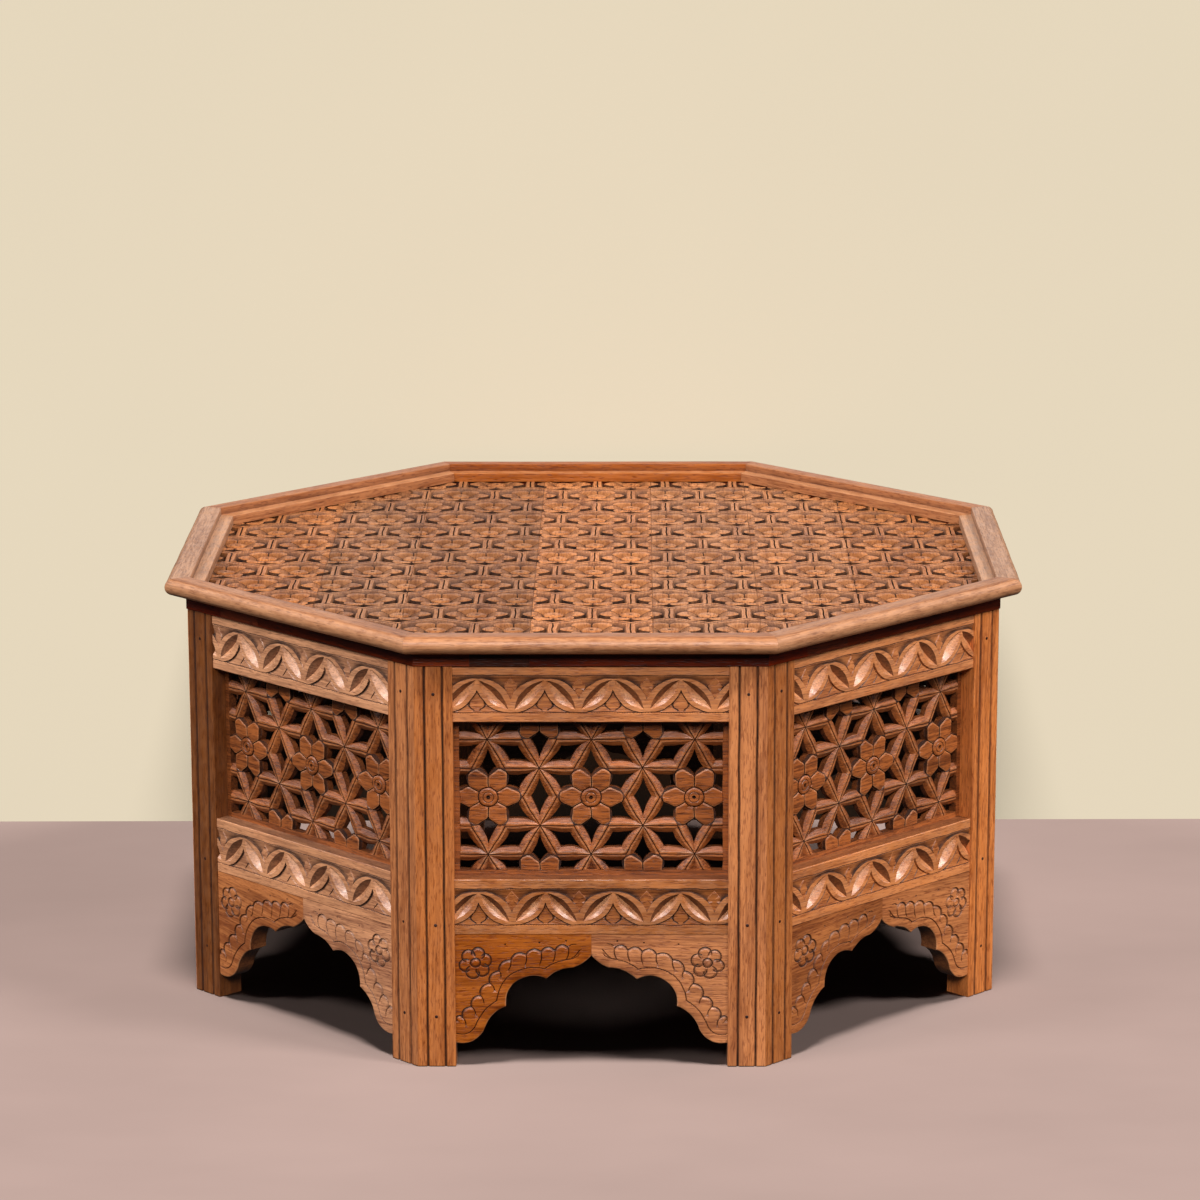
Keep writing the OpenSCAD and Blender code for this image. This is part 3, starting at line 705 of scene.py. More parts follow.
def rail_relief(sizes, first, plain_side):
    """Height of a rail's face for a place on it, and its painted light: painted shade on the sunk
    ground, in the cuts and scribed lines and on each hollow's upper facet, a painted shadow beside
    the leaves' inner edges, and painted highlights on each hollow's lower facet and on the flats.
    """
    slopes = scoop_slopes(sizes)
    ground_d = sizes.ground_depth / MM
    figure = FLAME if plain_side else DIAMOND

    def relief(x, up):
        y = up - BAND_LOW
        off = (x - first + LEAF_PERIOD / 2) % LEAF_PERIOD - LEAF_PERIOD / 2
        a = np.abs(off)
        lower = np.hypot(a - LEAF_IN[0], y - LEAF_IN[1]) - LEAF_IN[2]
        upper = np.hypot(a - LEAF_OUT[0], y - LEAF_OUT[1]) - LEAF_OUT[2]
        # Over the leaves the ground is sunk, deepest beside them, round a raised figure
        ground = -ground_d * ramp(y, BAND_H, BAND_H - 5, 0.15, 1) * ramp(upper, 0.7, 9, 1.15, 0.75)
        edge = figure.distance(a, y)
        high = ramp(edge, 0, 0.7, 1, 0) * (-FIGURE_SUNK - ground) + ground
        high = high - FIGURE_DOME * ramp(edge, -6, 0, 0, 1) * (edge < 0)
        z_up = ramp(upper, 0, 0.6, 0, 1) * high
        # Painted shade on the sunk ground, darkest next to the leaves, and a little on the figure's
        # slopes
        s_up = np.where(edge > 0.05, ramp(upper, 1, 5, 0.95, 0.26), ramp(edge, -3, 0, 0.0, 0.25))
        # Under them is a sunk triangle with a chip out of its top
        cut = np.clip(lower / 0.5, 0, 1)
        reach = 2.6 if plain_side else 1.2
        deep = ramp(lower, 0.5, reach, 2.4, 1.1) * ramp(y, 0, 3, 0.4, 1)
        if plain_side:
            chip, notch = 0 * y, 0 * y
            tick = np.clip(1 - line_distance(off, y, ONE_SLASH) / 0.9, 0, 1)
            # On the plain sides a painted shadow lies beside the inner edge of the leaf left of
            # each peak
            near = ramp(lower, reach - 0.6, reach + 0.4, 1, 0) * (off < 0)
        else:
            chip = ramp(y, CHIP_BASE - 0.5, CHIP_BASE, 0, CHIP_DEPTH)
            notch = np.clip(1.3 - np.hypot(a - NOTCH[0], y - NOTCH[1]) / NOTCH[2], 0, 1)
            tick = np.clip(1.2 - line_distance(a, y, TWO_SLASHES) / 0.8, 0, 1)
            # On the diamond sides painted shade lies beside the inner edges of both leaves
            near = ramp(lower, 0.9, 1.9, 1, 0)
        z_low = -np.maximum.reduce([
            deep * cut, chip * cut, NOTCH_DEPTH * notch * cut, SLASH_DEPTH * tick,
        ])
        # Painted shade in the chip, the notches and the slashes, and a little on the sunk triangle
        s_low = np.maximum.reduce([
            near, (chip > 1) * 0.95, (notch > 0.25) * 1.0, (tick > 0.2) * 0.95, 0 * y + 0.12,
        ])
        z = np.where(upper > 0, z_up, np.where(lower > 0, z_low, 0.0))
        # The leaves' raised borders are painted a little lighter
        stain = np.where(upper > 0, s_up, np.where(lower > 0, s_low, -0.2))
        hollow, on_upper = SCOOP.hollow(a, y, *slopes)
        z = z - hollow
        # Painted shade on each hollow's upper facet and a painted highlight on its lower facet
        s_hollow = np.where(on_upper, 0.66, ramp(hollow, 0, 2.4, -0.05, -0.48))
        stain = np.where(hollow > 0, s_hollow, stain)
        plain = (y < 0) | (y > BAND_H)
        # The plain strips above and below the band are painted a little lighter
        z, stain = np.where(plain, 0, z), np.where(plain, -0.15, stain)
        from_line = np.minimum(np.abs(y), np.abs(y - BAND_H))
        scribe = np.clip(1 - from_line / SCRIBE_HALF, 0, 1)
        z = np.minimum(z, -SCRIBE_DEPTH * scribe)
        # Painted shade in the scribed lines
        stain = np.where(scribe > 0.1, 0.9, stain)
        return z + arris(up, RAIL_H, RAIL_ARRIS), stain

    return relief


def arc_about(centre, grow, start, end, count=16):
    """Points of an arc given as its centre and radius, from one angle to another."""
    cx, cy, r = centre
    t = np.linspace(start, end, count)
    return np.column_stack([cx + (r + grow) * np.cos(t), cy + (r + grow) * np.sin(t)])


def rail_carving(sizes, first, plain_side):
    """A rail's face with its peaks a leaf's period apart, the first at a place along it."""
    step = 2.6
    figure = FLAME if plain_side else DIAMOND
    tile = []
    for grow in (0.0, 0.5, 2.6 if plain_side else 1.4):
        tile.append(split(arc_about(LEAF_IN, grow, math.radians(160), math.radians(266)), step))
    for grow in (0.0, 0.6):
        tile.append(split(arc_about(LEAF_OUT, grow, math.radians(96), math.radians(8)), step))
    tile.append(split(SCOOP.ring(10), step, closed=True))
    tile.append(split(SCOOP.keel(*scoop_slopes(sizes), 14), step))
    tile += [split(figure.ring(g), step, closed=True) for g in (0.0, 0.7)]
    slash = ONE_SLASH if plain_side else TWO_SLASHES
    if not plain_side:
        tile += [split([(0, y), (5.0, y)], step) for y in (CHIP_BASE - 0.5, CHIP_BASE)]
        for r in (NOTCH[2] * 1.3, NOTCH[2] * 0.3):
            tile.append(split(circle(NOTCH[0], NOTCH[1], r, 10), 9, closed=True))
    tile.append(split(slash, step))
    for s in (-0.7, 0.7):
        tile.append(split(np.array(slash) + [s * 0.7, -s * 0.7], step))
    half = np.array([(0, 0), (LEAF_PERIOD / 2, 0), (LEAF_PERIOD / 2, BAND_H), (0, BAND_H)], float)
    tile = clipped(np.vstack(tile), half)
    lines = []
    k = math.floor((-FRAME_X - first) / LEAF_PERIOD)
    while first + k * LEAF_PERIOD < FRAME_X + LEAF_PERIOD:
        at = first + k * LEAF_PERIOD
        right = tile + [at, BAND_LOW, at, BAND_LOW]
        left = tile * [-1, 1, -1, 1] + [at, BAND_LOW, at, BAND_LOW]
        lines += [right, left]
        k += 1
    outline = np.array([(-FRAME_X, 0), (FRAME_X, 0), (FRAME_X, RAIL_H), (-FRAME_X, RAIL_H)])
    scribes = [
        y + d for y in (BAND_LOW, BAND_LOW + BAND_H) for d in (-SCRIBE_HALF, 0, SCRIBE_HALF)
    ]
    for y in scribes + [0.3, RAIL_ARRIS, RAIL_H - 0.3, RAIL_H - RAIL_ARRIS]:
        lines.append(split([(-FRAME_X, y), (FRAME_X, y)], step))
    return Carving(outline, lines, rail_relief(sizes, first, plain_side), everywhere, 3.4)


# Top boards: a honeycomb with a flower in every cell

CELL = 38.37
CELL_STRETCH = 1.036
CELL_SIDE = (2 * CELL, 0.0)
CELL_UP = (CELL, 2 * CELL * math.cos(math.pi / 6))
CELL_FIRST = (0.0, 66.45)
BAR_HALF = 6.4
BAR_FLAT = 4.3
BAR_GROOVE, BAR_GROOVE_DEPTH = 0.8, 2.2
TOP_PETAL = Convex([
    (31.0, -0.9), (31.0, 0.9), (28.8, 5.2), (25.0, 9.0), (20.6, 10.6), (17.0, 9.0), (8.0, 3.7),
    (8.0, -3.7), (17.0, -9.0), (20.6, -10.6), (25.0, -9.0), (28.8, -5.2),
])
TOP_BOSS, TOP_DOT = 10.0, 1.8
BOWL_R, BOWL_DEPTH = 20.5, 3.7
PETAL_SUNK, PETAL_GAP = 0.2, 0.45
SEAM_HALF, SEAM_DEPTH = 0.5, 0.7
TOP_RINGS = ((TOP_BOSS + 0.5, 24), (TOP_BOSS, 24), (TOP_BOSS - 2.5, 20), (1.9, 10), (0.5, 6))


def top_relief(sizes):
    """Height of the boards' faces for a place on them, and their painted light: painted sheen on
    the flat tops of bars, petals and bosses, painted shade down the bevels, on the ground and in
    the bowls, gaps and holes, and the dark joints between the boards.
    """
    ground = sizes.top_ground / MM

    def relief(x, y):
        _, _, dx, dy = nearest(x / CELL_STRETCH, y, CELL_SIDE, CELL_UP, CELL_FIRST)
        u, v, r = sixfold(dx, dy)
        bar = CELL - u
        groove = np.clip(1 - bar / BAR_GROOVE, 0, 1)
        z_bar = -BAR_GROOVE_DEPTH * groove - ramp(bar, BAR_FLAT, BAR_HALF, 0, ground - 0.4)
        # Painted sheen on the bars' flats, painted shade down their bevels and in their grooves
        s_bevel = np.where(bar < BAR_FLAT + 0.1, -0.7, ramp(bar, BAR_FLAT, BAR_HALF, 0.3, 1.0))
        s_bar = np.where(groove > 0.05, 1.0, s_bevel)
        z_low = np.where(bar < BAR_HALF, z_bar, -ground)
        # Painted shade on the ground between the flowers
        s_wall = np.where(bar < BAR_HALF, s_bar, 1.0)
        edge = TOP_PETAL.distance(u, v)
        petal = ramp(r, 11.0, 20.0, -BOWL_DEPTH, -PETAL_SUNK)
        petal = petal - 0.5 * np.clip(1 + edge / 2, 0, 1) ** 2
        off_gap = np.abs(u / 2 - v * math.cos(math.pi / 6))
        # Painted shade in the gaps between petals and in the bowls, and painted sheen on the
        # petals' tops
        s_bowl = np.where(off_gap < PETAL_GAP, 1.0, ramp(r, 11, BOWL_R, 0.62, 0.28))
        s_petal = np.where(r < BOWL_R, s_bowl, ramp(edge, -2.0, -0.6, -0.75, -1.0))
        z_low = np.where(r < 21.5, petal - 1.8, z_low)
        z = np.where(edge > 0, petal + (z_low - petal) * ramp(edge, 0, 0.55, 0, 1), petal)
        stain = np.where(edge > 0.04, s_wall, s_petal)
        dot = np.clip(1 - r / TOP_DOT, 0, 1) ** 0.5
        boss = ramp(r, TOP_BOSS - 2.5, TOP_BOSS, -0.9, -1.9) - 1.8 * dot
        boss = np.where(r > TOP_BOSS, ramp(r, TOP_BOSS, TOP_BOSS + 0.5, -1.9, -4.2), boss)
        # Painted shade in the boss's hole and round it, and painted sheen on its top
        s_boss = np.where((r < TOP_DOT) | (r > TOP_BOSS + 0.04), 1.0, -0.65)
        near = r < TOP_BOSS + 0.8
        z, stain = np.where(near, boss, z), np.where(near, s_boss, stain)
        z = np.where((edge > 0.55) & (bar < BAR_HALF), z_bar, z)
        stain = np.where((edge > 0.6) & (bar < BAR_HALF), s_bar, stain)
        joint = np.min([np.abs(x - j) for j in BOARD_JOINTS], 0)
        seam = np.clip(1 - joint / SEAM_HALF, 0, 1)
        return np.minimum(z, -SEAM_DEPTH * seam), np.maximum(stain, seam * 0.9)

    return relief


def top_carving(sizes):
    """The faces of all the boards, with their joints as lines."""
    step = 3.4
    tile = []
    for d in (0.0, BAR_GROOVE, BAR_FLAT, BAR_HALF, BAR_HALF + 0.4):
        tile.append(split([(CELL - d, 0), (CELL - d, (CELL - d) * math.tan(math.pi / 6))], step))
    upper = np.array([(0, 0), (60, 0), (60, 34.64)])
    for grow in (-2.0, 0.0, 0.55):
        tile.append(clipped(split(TOP_PETAL.ring(grow), step, closed=True), upper))
    seam = np.array([(r * COS_30, r / 2) for r in (TOP_BOSS, 20.4)])
    tile.append(split(seam, step))
    tile.append(split(seam + [PETAL_GAP / 2, -PETAL_GAP * COS_30], step))
    tile.append(split(arc_about((0, 0, BOWL_R), 0, 0, math.radians(30), 5), step))
    tile = np.vstack(tile)
    bosses = rings(TOP_RINGS)
    lines = []
    for i in range(-12, 13):
        for j in range(-9, 9):
            x = CELL_FIRST[0] + i * CELL_SIDE[0] + j * CELL_UP[0]
            y = CELL_FIRST[1] + j * CELL_UP[1]
            if math.hypot(x, y) > 500:
                continue
            stamped = [placed(r, 0, x, y) for r in bosses]
            stamped += [placed(tile, k * math.pi / 3, x, y, f) for k in range(6) for f in (1, -1)]
            lines += [rows * [CELL_STRETCH, 1, CELL_STRETCH, 1] for rows in stamped]
    turn = EIGHTH * (np.arange(8) + 0.5)
    outline = np.column_stack([np.cos(turn), np.sin(turn)]) * BOARD_R / math.cos(EIGHTH / 2)
    for joint in BOARD_JOINTS[1:-1]:
        for d in (-SEAM_HALF, 0, SEAM_HALF):
            lines.append(split([(joint + d, -500), (joint + d, 500)], step))
    return Carving(outline, lines, top_relief(sizes), everywhere, 4.2)


# Spandrels: two boards with a cusped edge, engraved with scallops and a rosette

ARCH_Z = 117.7
FOOT_Z = 24.0
ROSETTE = (-117.6, 109.6)
ROSETTE_R, ROSETTE_PETAL, ROSETTE_HEART = 10.2, 6.9, 5.0


def spandrel_outline():
    """The left board's edge from the middle of the arch to the stile, and the whole outline."""
    peak, shoulder = (-0.05, ARCH_Z), (-18.0, ARCH_Z - 13.2)
    cusp_1, cusp_2 = (-46.0, ARCH_Z - 25.0), (-87.0, ARCH_Z - 54.0)
    turn, toe = (30.0 - FRAME_X, FOOT_Z + 19.0), (-FRAME_X, FOOT_Z + 1.0)
    edge = np.vstack([
        arc(peak, shoulder, 1.5, 6)[:-1],
        arc(shoulder, cusp_1, -3.2, 9)[:-1],
        arc(cusp_1, cusp_2, -15.5, 22)[:-1],
        arc(cusp_2, turn, -3.2, 9)[:-1],
        arc(turn, toe, 7.5, 14),
    ])
    return edge, np.vstack([edge, [(-FRAME_X, BOTTOM_RAIL_Z), (-0.05, BOTTOM_RAIL_Z)]])[::-1]


def inside_outline(outline, x, y):
    """True for points inside an outline of any shape."""
    odd = np.zeros(np.shape(x), bool)
    for (ax, ay), (bx, by) in zip(outline, np.roll(outline, -1, 0)):
        if ay != by:
            odd ^= ((ay > y) != (by > y)) & (x < (bx - ax) * (y - ay) / (by - ay) + ax)
    return odd


def beside(points, offset):
    """A smooth line at a distance to one side of another."""
    p = np.array(points, float)
    way = np.gradient(p, axis=0)
    way /= np.hypot(way[:, 0], way[:, 1])[:, None]
    return p + np.column_stack([way[:, 1], -way[:, 0]]) * offset


def evenly(points, step):
    """The same line with points an even step apart."""
    p = np.array(points, float)
    along = np.concatenate([[0], np.cumsum(np.hypot(*np.diff(p, axis=0).T))])
    t = np.linspace(0, along[-1], max(3, int(along[-1] / step) + 1))
    return np.column_stack([np.interp(t, along, p[:, 0]), np.interp(t, along, p[:, 1])])


# The scallops' upper corners from the middle of the arch to the stile, with the foot of the line
# between each two on the guide
SCALLOPS = (
    ((-23.7, 125.7), (-25.3, 113.8)), ((-37.0, 123.5), (-38.7, 111.5)),
    ((-51.4, 121.7), (-52.0, 109.2)), ((-66.4, 118.9), (-67.0, 108.6)),
    ((-82.0, 113.2), (-83.7, 102.4)), ((-94.2, 101.2), (-92.0, 94.8)),
    ((-103.7, 87.8), (-98.8, 80.6)), ((-112.6, 74.4), (-109.2, 67.4)),
    ((-122.6, 63.3), (-118.1, 55.6)), ((-130.9, 51.2), (-127.8, 43.6)),
    ((-137.6, 48.0), (-136.5, 40.0)),
)
CURL = ((-22.6, 128.0), (-20.3, 129.4), (-16.4, 129.7))
LAST_CUT = ((-20.3, 114.3), (-12.0, 123.5))
GUIDE_OFF = 9.2


def softened(points, times):
    """The same line with its corners rounded off."""
    for _ in range(times):
        points[1:-1] = (points[:-2] + 2 * points[1:-1] + points[2:]) / 4
    return points


def spandrel_strokes():
    """Lines engraved in the left board, and whether each has a soft inner side."""
    edge, _ = spandrel_outline()
    guide = beside(softened(evenly(edge, 1.5), 6), GUIDE_OFF)
    guide = softened(guide[(guide[:, 0] < -13) & (guide[:, 0] > -FRAME_X + 0.8)], 3)
    last = arc(*LAST_CUT, -0.6, 6)
    strokes = [(evenly(guide, 3.0), False), (np.array(CURL), False), (last, False)]
    for (right, foot), (left, _) in zip(SCALLOPS[:-1], SCALLOPS[1:]):
        strokes.append((arc(left, right, 4.3, 9)[::-1], True))
        strokes.append((arc(right, foot, 1.1, 6), False))
    for k in range(6):
        turn = math.radians(75 + 60 * k)
        cx = ROSETTE[0] + ROSETTE_R * math.cos(turn)
        cy = ROSETTE[1] + ROSETTE_R * math.sin(turn)
        ends = turn + np.radians([-128, 112])
        strokes.append((arc_about((cx, cy, ROSETTE_PETAL), 0, *ends, 15), True))
    heart = circle(*ROSETTE, ROSETTE_HEART, 14)
    strokes.append((np.vstack([heart, heart[:1]]), True))
    return strokes


SOFT_REACH = 3.2
PIN_DOTS = ((-88.0, 129.5), (-53.0, 131.0), (-26.0, 133.0))
LIP, LIP_DEPTH = 1.2, 0.9
DOT_RINGS = ((1.2, 8), (0.5, 8))


def stroke_depth(x, y, stroke, soft, half):
    """A V cut along a line, 1 at its bottom, with a long slope to its left where it is soft."""
    best, left = np.full(np.shape(x), FAR), np.zeros(np.shape(x), bool)
    for a, b in zip(stroke[:-1], stroke[1:]):
        away = from_piece(x, y, a, b)
        on_left = (b[0] - a[0]) * (y - a[1]) - (b[1] - a[1]) * (x - a[0]) > 0
        left = np.where(away < best, on_left, left)
        best = np.minimum(best, away)
    reach = np.where(left, SOFT_REACH * half, half) if soft else half
    return np.clip(1 - best / reach, 0, 1)


def spandrel_carving(sizes):
    """The left board's face, cut to its outline and engraved."""
    strokes = spandrel_strokes()
    half, depth = sizes.engraving_width / MM / 2, sizes.engraving_depth / MM
    edge, outline = spandrel_outline()

    def relief(x, y):
        cut = np.zeros(np.shape(x))
        for stroke, soft in strokes:
            cut = np.maximum(cut, stroke_depth(x, y, stroke, soft, half))
        for px, py in PIN_DOTS:
            cut = np.maximum(cut, np.clip(1.6 - np.hypot(x - px, y - py) / 0.8, 0, 1))
        lip = np.clip(1 - line_distance(x, y, edge) / LIP, 0, 1)
        # Painted shade in the engraved lines, and a painted highlight with rubbed pale edge along
        # the rounded edge of the arch
        stain = np.where(cut > 0, ramp(cut, 0.42, 0.78, 0.05, 1.0), -0.5 * lip)
        return -depth * cut - LIP_DEPTH * lip**2, stain

    def inside(x, y):
        return inside_outline(outline, x, y)

    lines = []
    for stroke, soft in strokes:
        lines.append(split(stroke, 2.2))
        for d in (half, -half * SOFT_REACH if soft else -half):
            lines.append(split(beside(stroke, d), 2.2))
        if soft:
            lines.append(split(beside(stroke, -half), 2.2))
    lines += [placed(ring, 0, *at) for at in PIN_DOTS for ring in rings(DOT_RINGS)]
    lines += [split(beside(edge, d)[1:-1], 2.0) for d in (0.5, LIP)]
    lines = [rows[inside(*((rows[:, :2] + rows[:, 2:]) / 2).T)] for rows in lines]
    lines.append(split(outline, 2.5, closed=True))
    low, high = outline.min(0), outline.max(0)
    box = [(low[0], low[1]), (high[0], low[1]), (high[0], high[1]), (low[0], high[1])]
    return Carving(box, lines, relief, inside, 3.2)


# Shaders


class Graph:
    """Short words for making and joining shader nodes."""

    def __init__(self, tree):
        self.tree = tree

    def node(self, kind, **settings):
        """A new node with its settings."""
        made = self.tree.nodes.new("ShaderNode" + kind)
        for key, value in settings.items():
            setattr(made, key, value)
        return made

    def feed(self, target, source):
        """Joins a socket to another, or gives it a value."""
        if isinstance(source, bpy.types.NodeSocket):
            self.tree.links.new(source, target)
        elif source is not None:
            target.default_value = source
        return target

    def math(self, operation, a, b=None, clamp=False):
        """One step of arithmetic on values or sockets."""
        made = self.node("Math", operation=operation, use_clamp=clamp)
        self.feed(made.inputs[0], a)
        if b is not None:
            self.feed(made.inputs[1], b)
        return made.outputs[0]

    def blend(self, share, a, b, kind="MIX"):
        """The second colour laid over the first by a share."""
        made = self.node("Mix", data_type="RGBA", blend_type=kind, clamp_factor=True)
        self.feed(made.inputs[0], share)
        self.feed(made.inputs[6], a)
        self.feed(made.inputs[7], b)
        return made.outputs[2]

    def noise(self, place, scale, detail=3.0, rough=0.5, twist=0.0):
        """Noise stretched by a scale for each direction."""
        spread = self.node("VectorMath", operation="MULTIPLY")
        self.feed(spread.inputs[0], place)
        spread.inputs[1].default_value = scale
        made = self.node("TexNoise")
        self.feed(made.inputs["Vector"], spread.outputs[0])
        given = {"Scale": 1.0, "Detail": detail, "Roughness": rough, "Distortion": twist}
        for key, value in given.items():
            made.inputs[key].default_value = value
        return made.outputs["Fac"]

    def range(self, value, start, end, low=0.0, high=1.0):
        """The value carried from one range to another, and held at its ends."""
        made = self.node("MapRange")
        given = {"Value": value, "From Min": start, "From Max": end, "To Min": low, "To Max": high}
        for key, source in given.items():
            self.feed(made.inputs[key], source)
        return made.outputs[0]


def new_group(name, inputs, outputs):
    """An empty node group with named sockets, and its graph."""
    tree = bpy.data.node_groups.new(name, "ShaderNodeTree")
    for key, kind, value in inputs:
        socket = tree.interface.new_socket(key, in_out="INPUT", socket_type="NodeSocket" + kind)
        if value is not None:
            socket.default_value = value
    for key, kind in outputs:
        tree.interface.new_socket(key, in_out="OUTPUT", socket_type="NodeSocket" + kind)
    graph = Graph(tree)
    return tree, graph, tree.nodes.new("NodeGroupInput"), tree.nodes.new("NodeGroupOutput")


def grain_group():
    """Streaks, bands and pores of one plank."""
    tree, g, given, made = new_group(
        "Wood grain",
        [("Grain", "Vector", None), ("Light", "Color", (0.5, 0.3, 0.15, 1)),
         ("Dark", "Color", (0.2, 0.1, 0.05, 1)), ("Figure", "Float", 0.6),
         ("Streaks", "Float", 0.5)],
        [("Color", "Color"), ("Height", "Float")],
    )
    place = given.outputs["Grain"]
    bands = g.range(g.noise(place, (5.0, 42.0, 42.0), 2.0, 0.5, 0.6), 0.34, 0.66)
    streaks = g.range(g.noise(place, (26.0, 500.0, 500.0), 2.0, 0.6), 0.36, 0.64)
    lines = g.range(g.noise(place, (7.0, 150.0, 150.0), 2.0, 0.5, 0.3), 0.52, 0.66)
    pores = g.range(g.noise(place, (110.0, 750.0, 750.0), 1.0, 0.5), 0.55, 0.67)
    share = g.math("MULTIPLY", bands, given.outputs["Figure"])
    wander = g.math("MULTIPLY", g.math("SUBTRACT", streaks, 0.5), given.outputs["Streaks"])
    share = g.math("ADD", share, wander, clamp=True)
    colour = g.blend(share, given.outputs["Light"], given.outputs["Dark"])
    colour = g.blend(g.math("MULTIPLY", lines, 0.42), colour, given.outputs["Dark"])
    colour = g.blend(g.math("MULTIPLY", pores, 0.5), colour, given.outputs["Dark"], "MULTIPLY")
    g.feed(made.inputs["Color"], colour)
    g.feed(made.inputs["Height"], g.math("SUBTRACT", g.math("MULTIPLY", streaks, 0.4), pores))
    return tree


def plank_group():
    """Shifts a plank lighter or darker, and warmer or greyer."""
    tree, g, given, made = new_group(
        "Plank tone",
        [("Color", "Color", (0.5, 0.3, 0.2, 1)), ("Tone", "Float", 0.0), ("Warmth", "Float", 0.0)],
        [("Color", "Color")],
    )
    shift = g.node("HueSaturation")
    for key, middle, source, gain in (
        ("Hue", 0.5, "Warmth", -0.012),
        ("Saturation", 1.0, "Warmth", 0.25),
        ("Value", 1.0, "Tone", 0.55),
    ):
        moved = g.math("MULTIPLY", given.outputs[source], gain)
        g.feed(shift.inputs[key], g.math("ADD", middle, moved))
    g.feed(shift.inputs["Color"], given.outputs["Color"])
    g.feed(made.inputs["Color"], shift.outputs[0])
    return tree


def cuts_group():
    """Painted shade in the cuts and on shaded faces, partly dark polish, and painted highlights on
    lit faces and edges, partly rubbed pale edges.
    """
    tree, g, given, made = new_group(
        "Stain in the cuts",
        [("Color", "Color", (0.5, 0.3, 0.2, 1)), ("Grain", "Vector", None), ("Stain", "Float", 0.0),
         ("Cut Color", "Color", (0.05, 0.02, 0.01, 1)),
         ("Wear Color", "Color", (0.7, 0.45, 0.25, 1)), ("Polish", "Float", 1.0)],
        [("Color", "Color"), ("Roughness", "Float"), ("Coat", "Float")],
    )
    patch = g.noise(given.outputs["Grain"], (60.0, 110.0, 110.0), 3.0, 0.6)
    stain = given.outputs["Stain"]
    # Values above nought lay the shade colour, values below nought the highlight colour with more
    # coat
    dark = g.math("MAXIMUM", stain, 0.0)
    dark = g.math("MULTIPLY", dark, g.range(patch, 0.3, 0.65, 0.72, 1.0), clamp=True)
    worn = g.math("MAXIMUM", g.math("MULTIPLY", stain, -1.0), 0.0)
    worn = g.math("MULTIPLY", worn, g.range(patch, 0.35, 0.6, 0.2, 1.0), clamp=True)
    colour = g.blend(dark, given.outputs["Color"], given.outputs["Cut Color"])
    g.feed(made.inputs["Color"], g.blend(worn, colour, given.outputs["Wear Color"]))
    rough = g.range(patch, 0.3, 0.7, 0.34, 0.48)
    g.feed(made.inputs["Roughness"], g.math("ADD", rough, g.math("MULTIPLY", dark, 0.25)))
    coat = g.math("MULTIPLY", g.range(patch, 0.3, 0.7, 0.4, 0.2), g.math("SUBTRACT", 1.0, dark))
    coat = g.math("ADD", coat, g.range(worn, 0.3, 0.8, 0.0, 0.8))
    g.feed(made.inputs["Coat"], g.math("MULTIPLY", coat, given.outputs["Polish"]))
    return tree


def wood(slot, colours, groups, figure, streaks, polish):
    """A wood that reads the piece's own grain, or the CAD solid's place where it isn't carved."""
    light, dark, cut, wear = colours
    material = bpy.data.materials.new(spoken(slot))
    material.use_nodes = True
    tree = material.node_tree
    tree.nodes.clear()
    g = Graph(tree)
    grain, plank, cuts = (g.node("Group", node_tree=group) for group in groups)
    grain.inputs["Light"].default_value = light
    grain.inputs["Dark"].default_value = dark
    grain.inputs["Figure"].default_value = figure
    grain.inputs["Streaks"].default_value = streaks
    g.feed(plank.inputs["Color"], grain.outputs["Color"])
    if slot == INNER_WOOD:
        place = g.node("TexCoord").outputs["Object"]
    else:
        place = g.node("Attribute", attribute_name="grain").outputs["Vector"]
        for target, key in ((cuts, "Stain"), (plank, "Tone"), (plank, "Warmth")):
            fact = g.node("Attribute", attribute_name=key.lower())
            g.feed(target.inputs[key], fact.outputs["Fac"])
    g.feed(grain.inputs["Grain"], place)
    g.feed(cuts.inputs["Grain"], place)
    g.feed(cuts.inputs["Color"], plank.outputs["Color"])
    cuts.inputs["Cut Color"].default_value = cut
    cuts.inputs["Wear Color"].default_value = wear
    cuts.inputs["Polish"].default_value = polish
    bump = g.node("Bump")
    bump.inputs["Strength"].default_value = 0.35
    bump.inputs["Distance"].default_value = 0.0004
    g.feed(bump.inputs["Height"], grain.outputs["Height"])
    shader = g.node("BsdfPrincipled")
    shader.inputs["Coat Roughness"].default_value = 0.3
    shader.inputs["Specular IOR Level"].default_value = 0.25 + 0.25 * polish
    g.feed(shader.inputs["Base Color"], cuts.outputs["Color"])
    g.feed(shader.inputs["Roughness"], cuts.outputs["Roughness"])
    g.feed(shader.inputs["Coat Weight"], cuts.outputs["Coat"])
    g.feed(shader.inputs["Normal"], bump.outputs[0])
    g.feed(g.node("OutputMaterial").inputs[0], shader.outputs[0])
    return material


def linear(r, g, b):
    """A colour written as a screen shows it, as Blender counts it."""
    return tuple(
        c / 255 / 12.92 if c <= 10 else ((c / 255 + 0.055) / 1.055) ** 2.4 for c in (r, g, b)
    )


# What a user may change


def size(label, value, help_):
    return FloatProperty(
        name=label, default=value * MM, description=help_, unit="LENGTH", precision=4,
    )


def tint(label, value, help_):
    return FloatVectorProperty(
        name=label, default=linear(*value), description=help_, subtype="COLOR", min=0, max=1,
    )


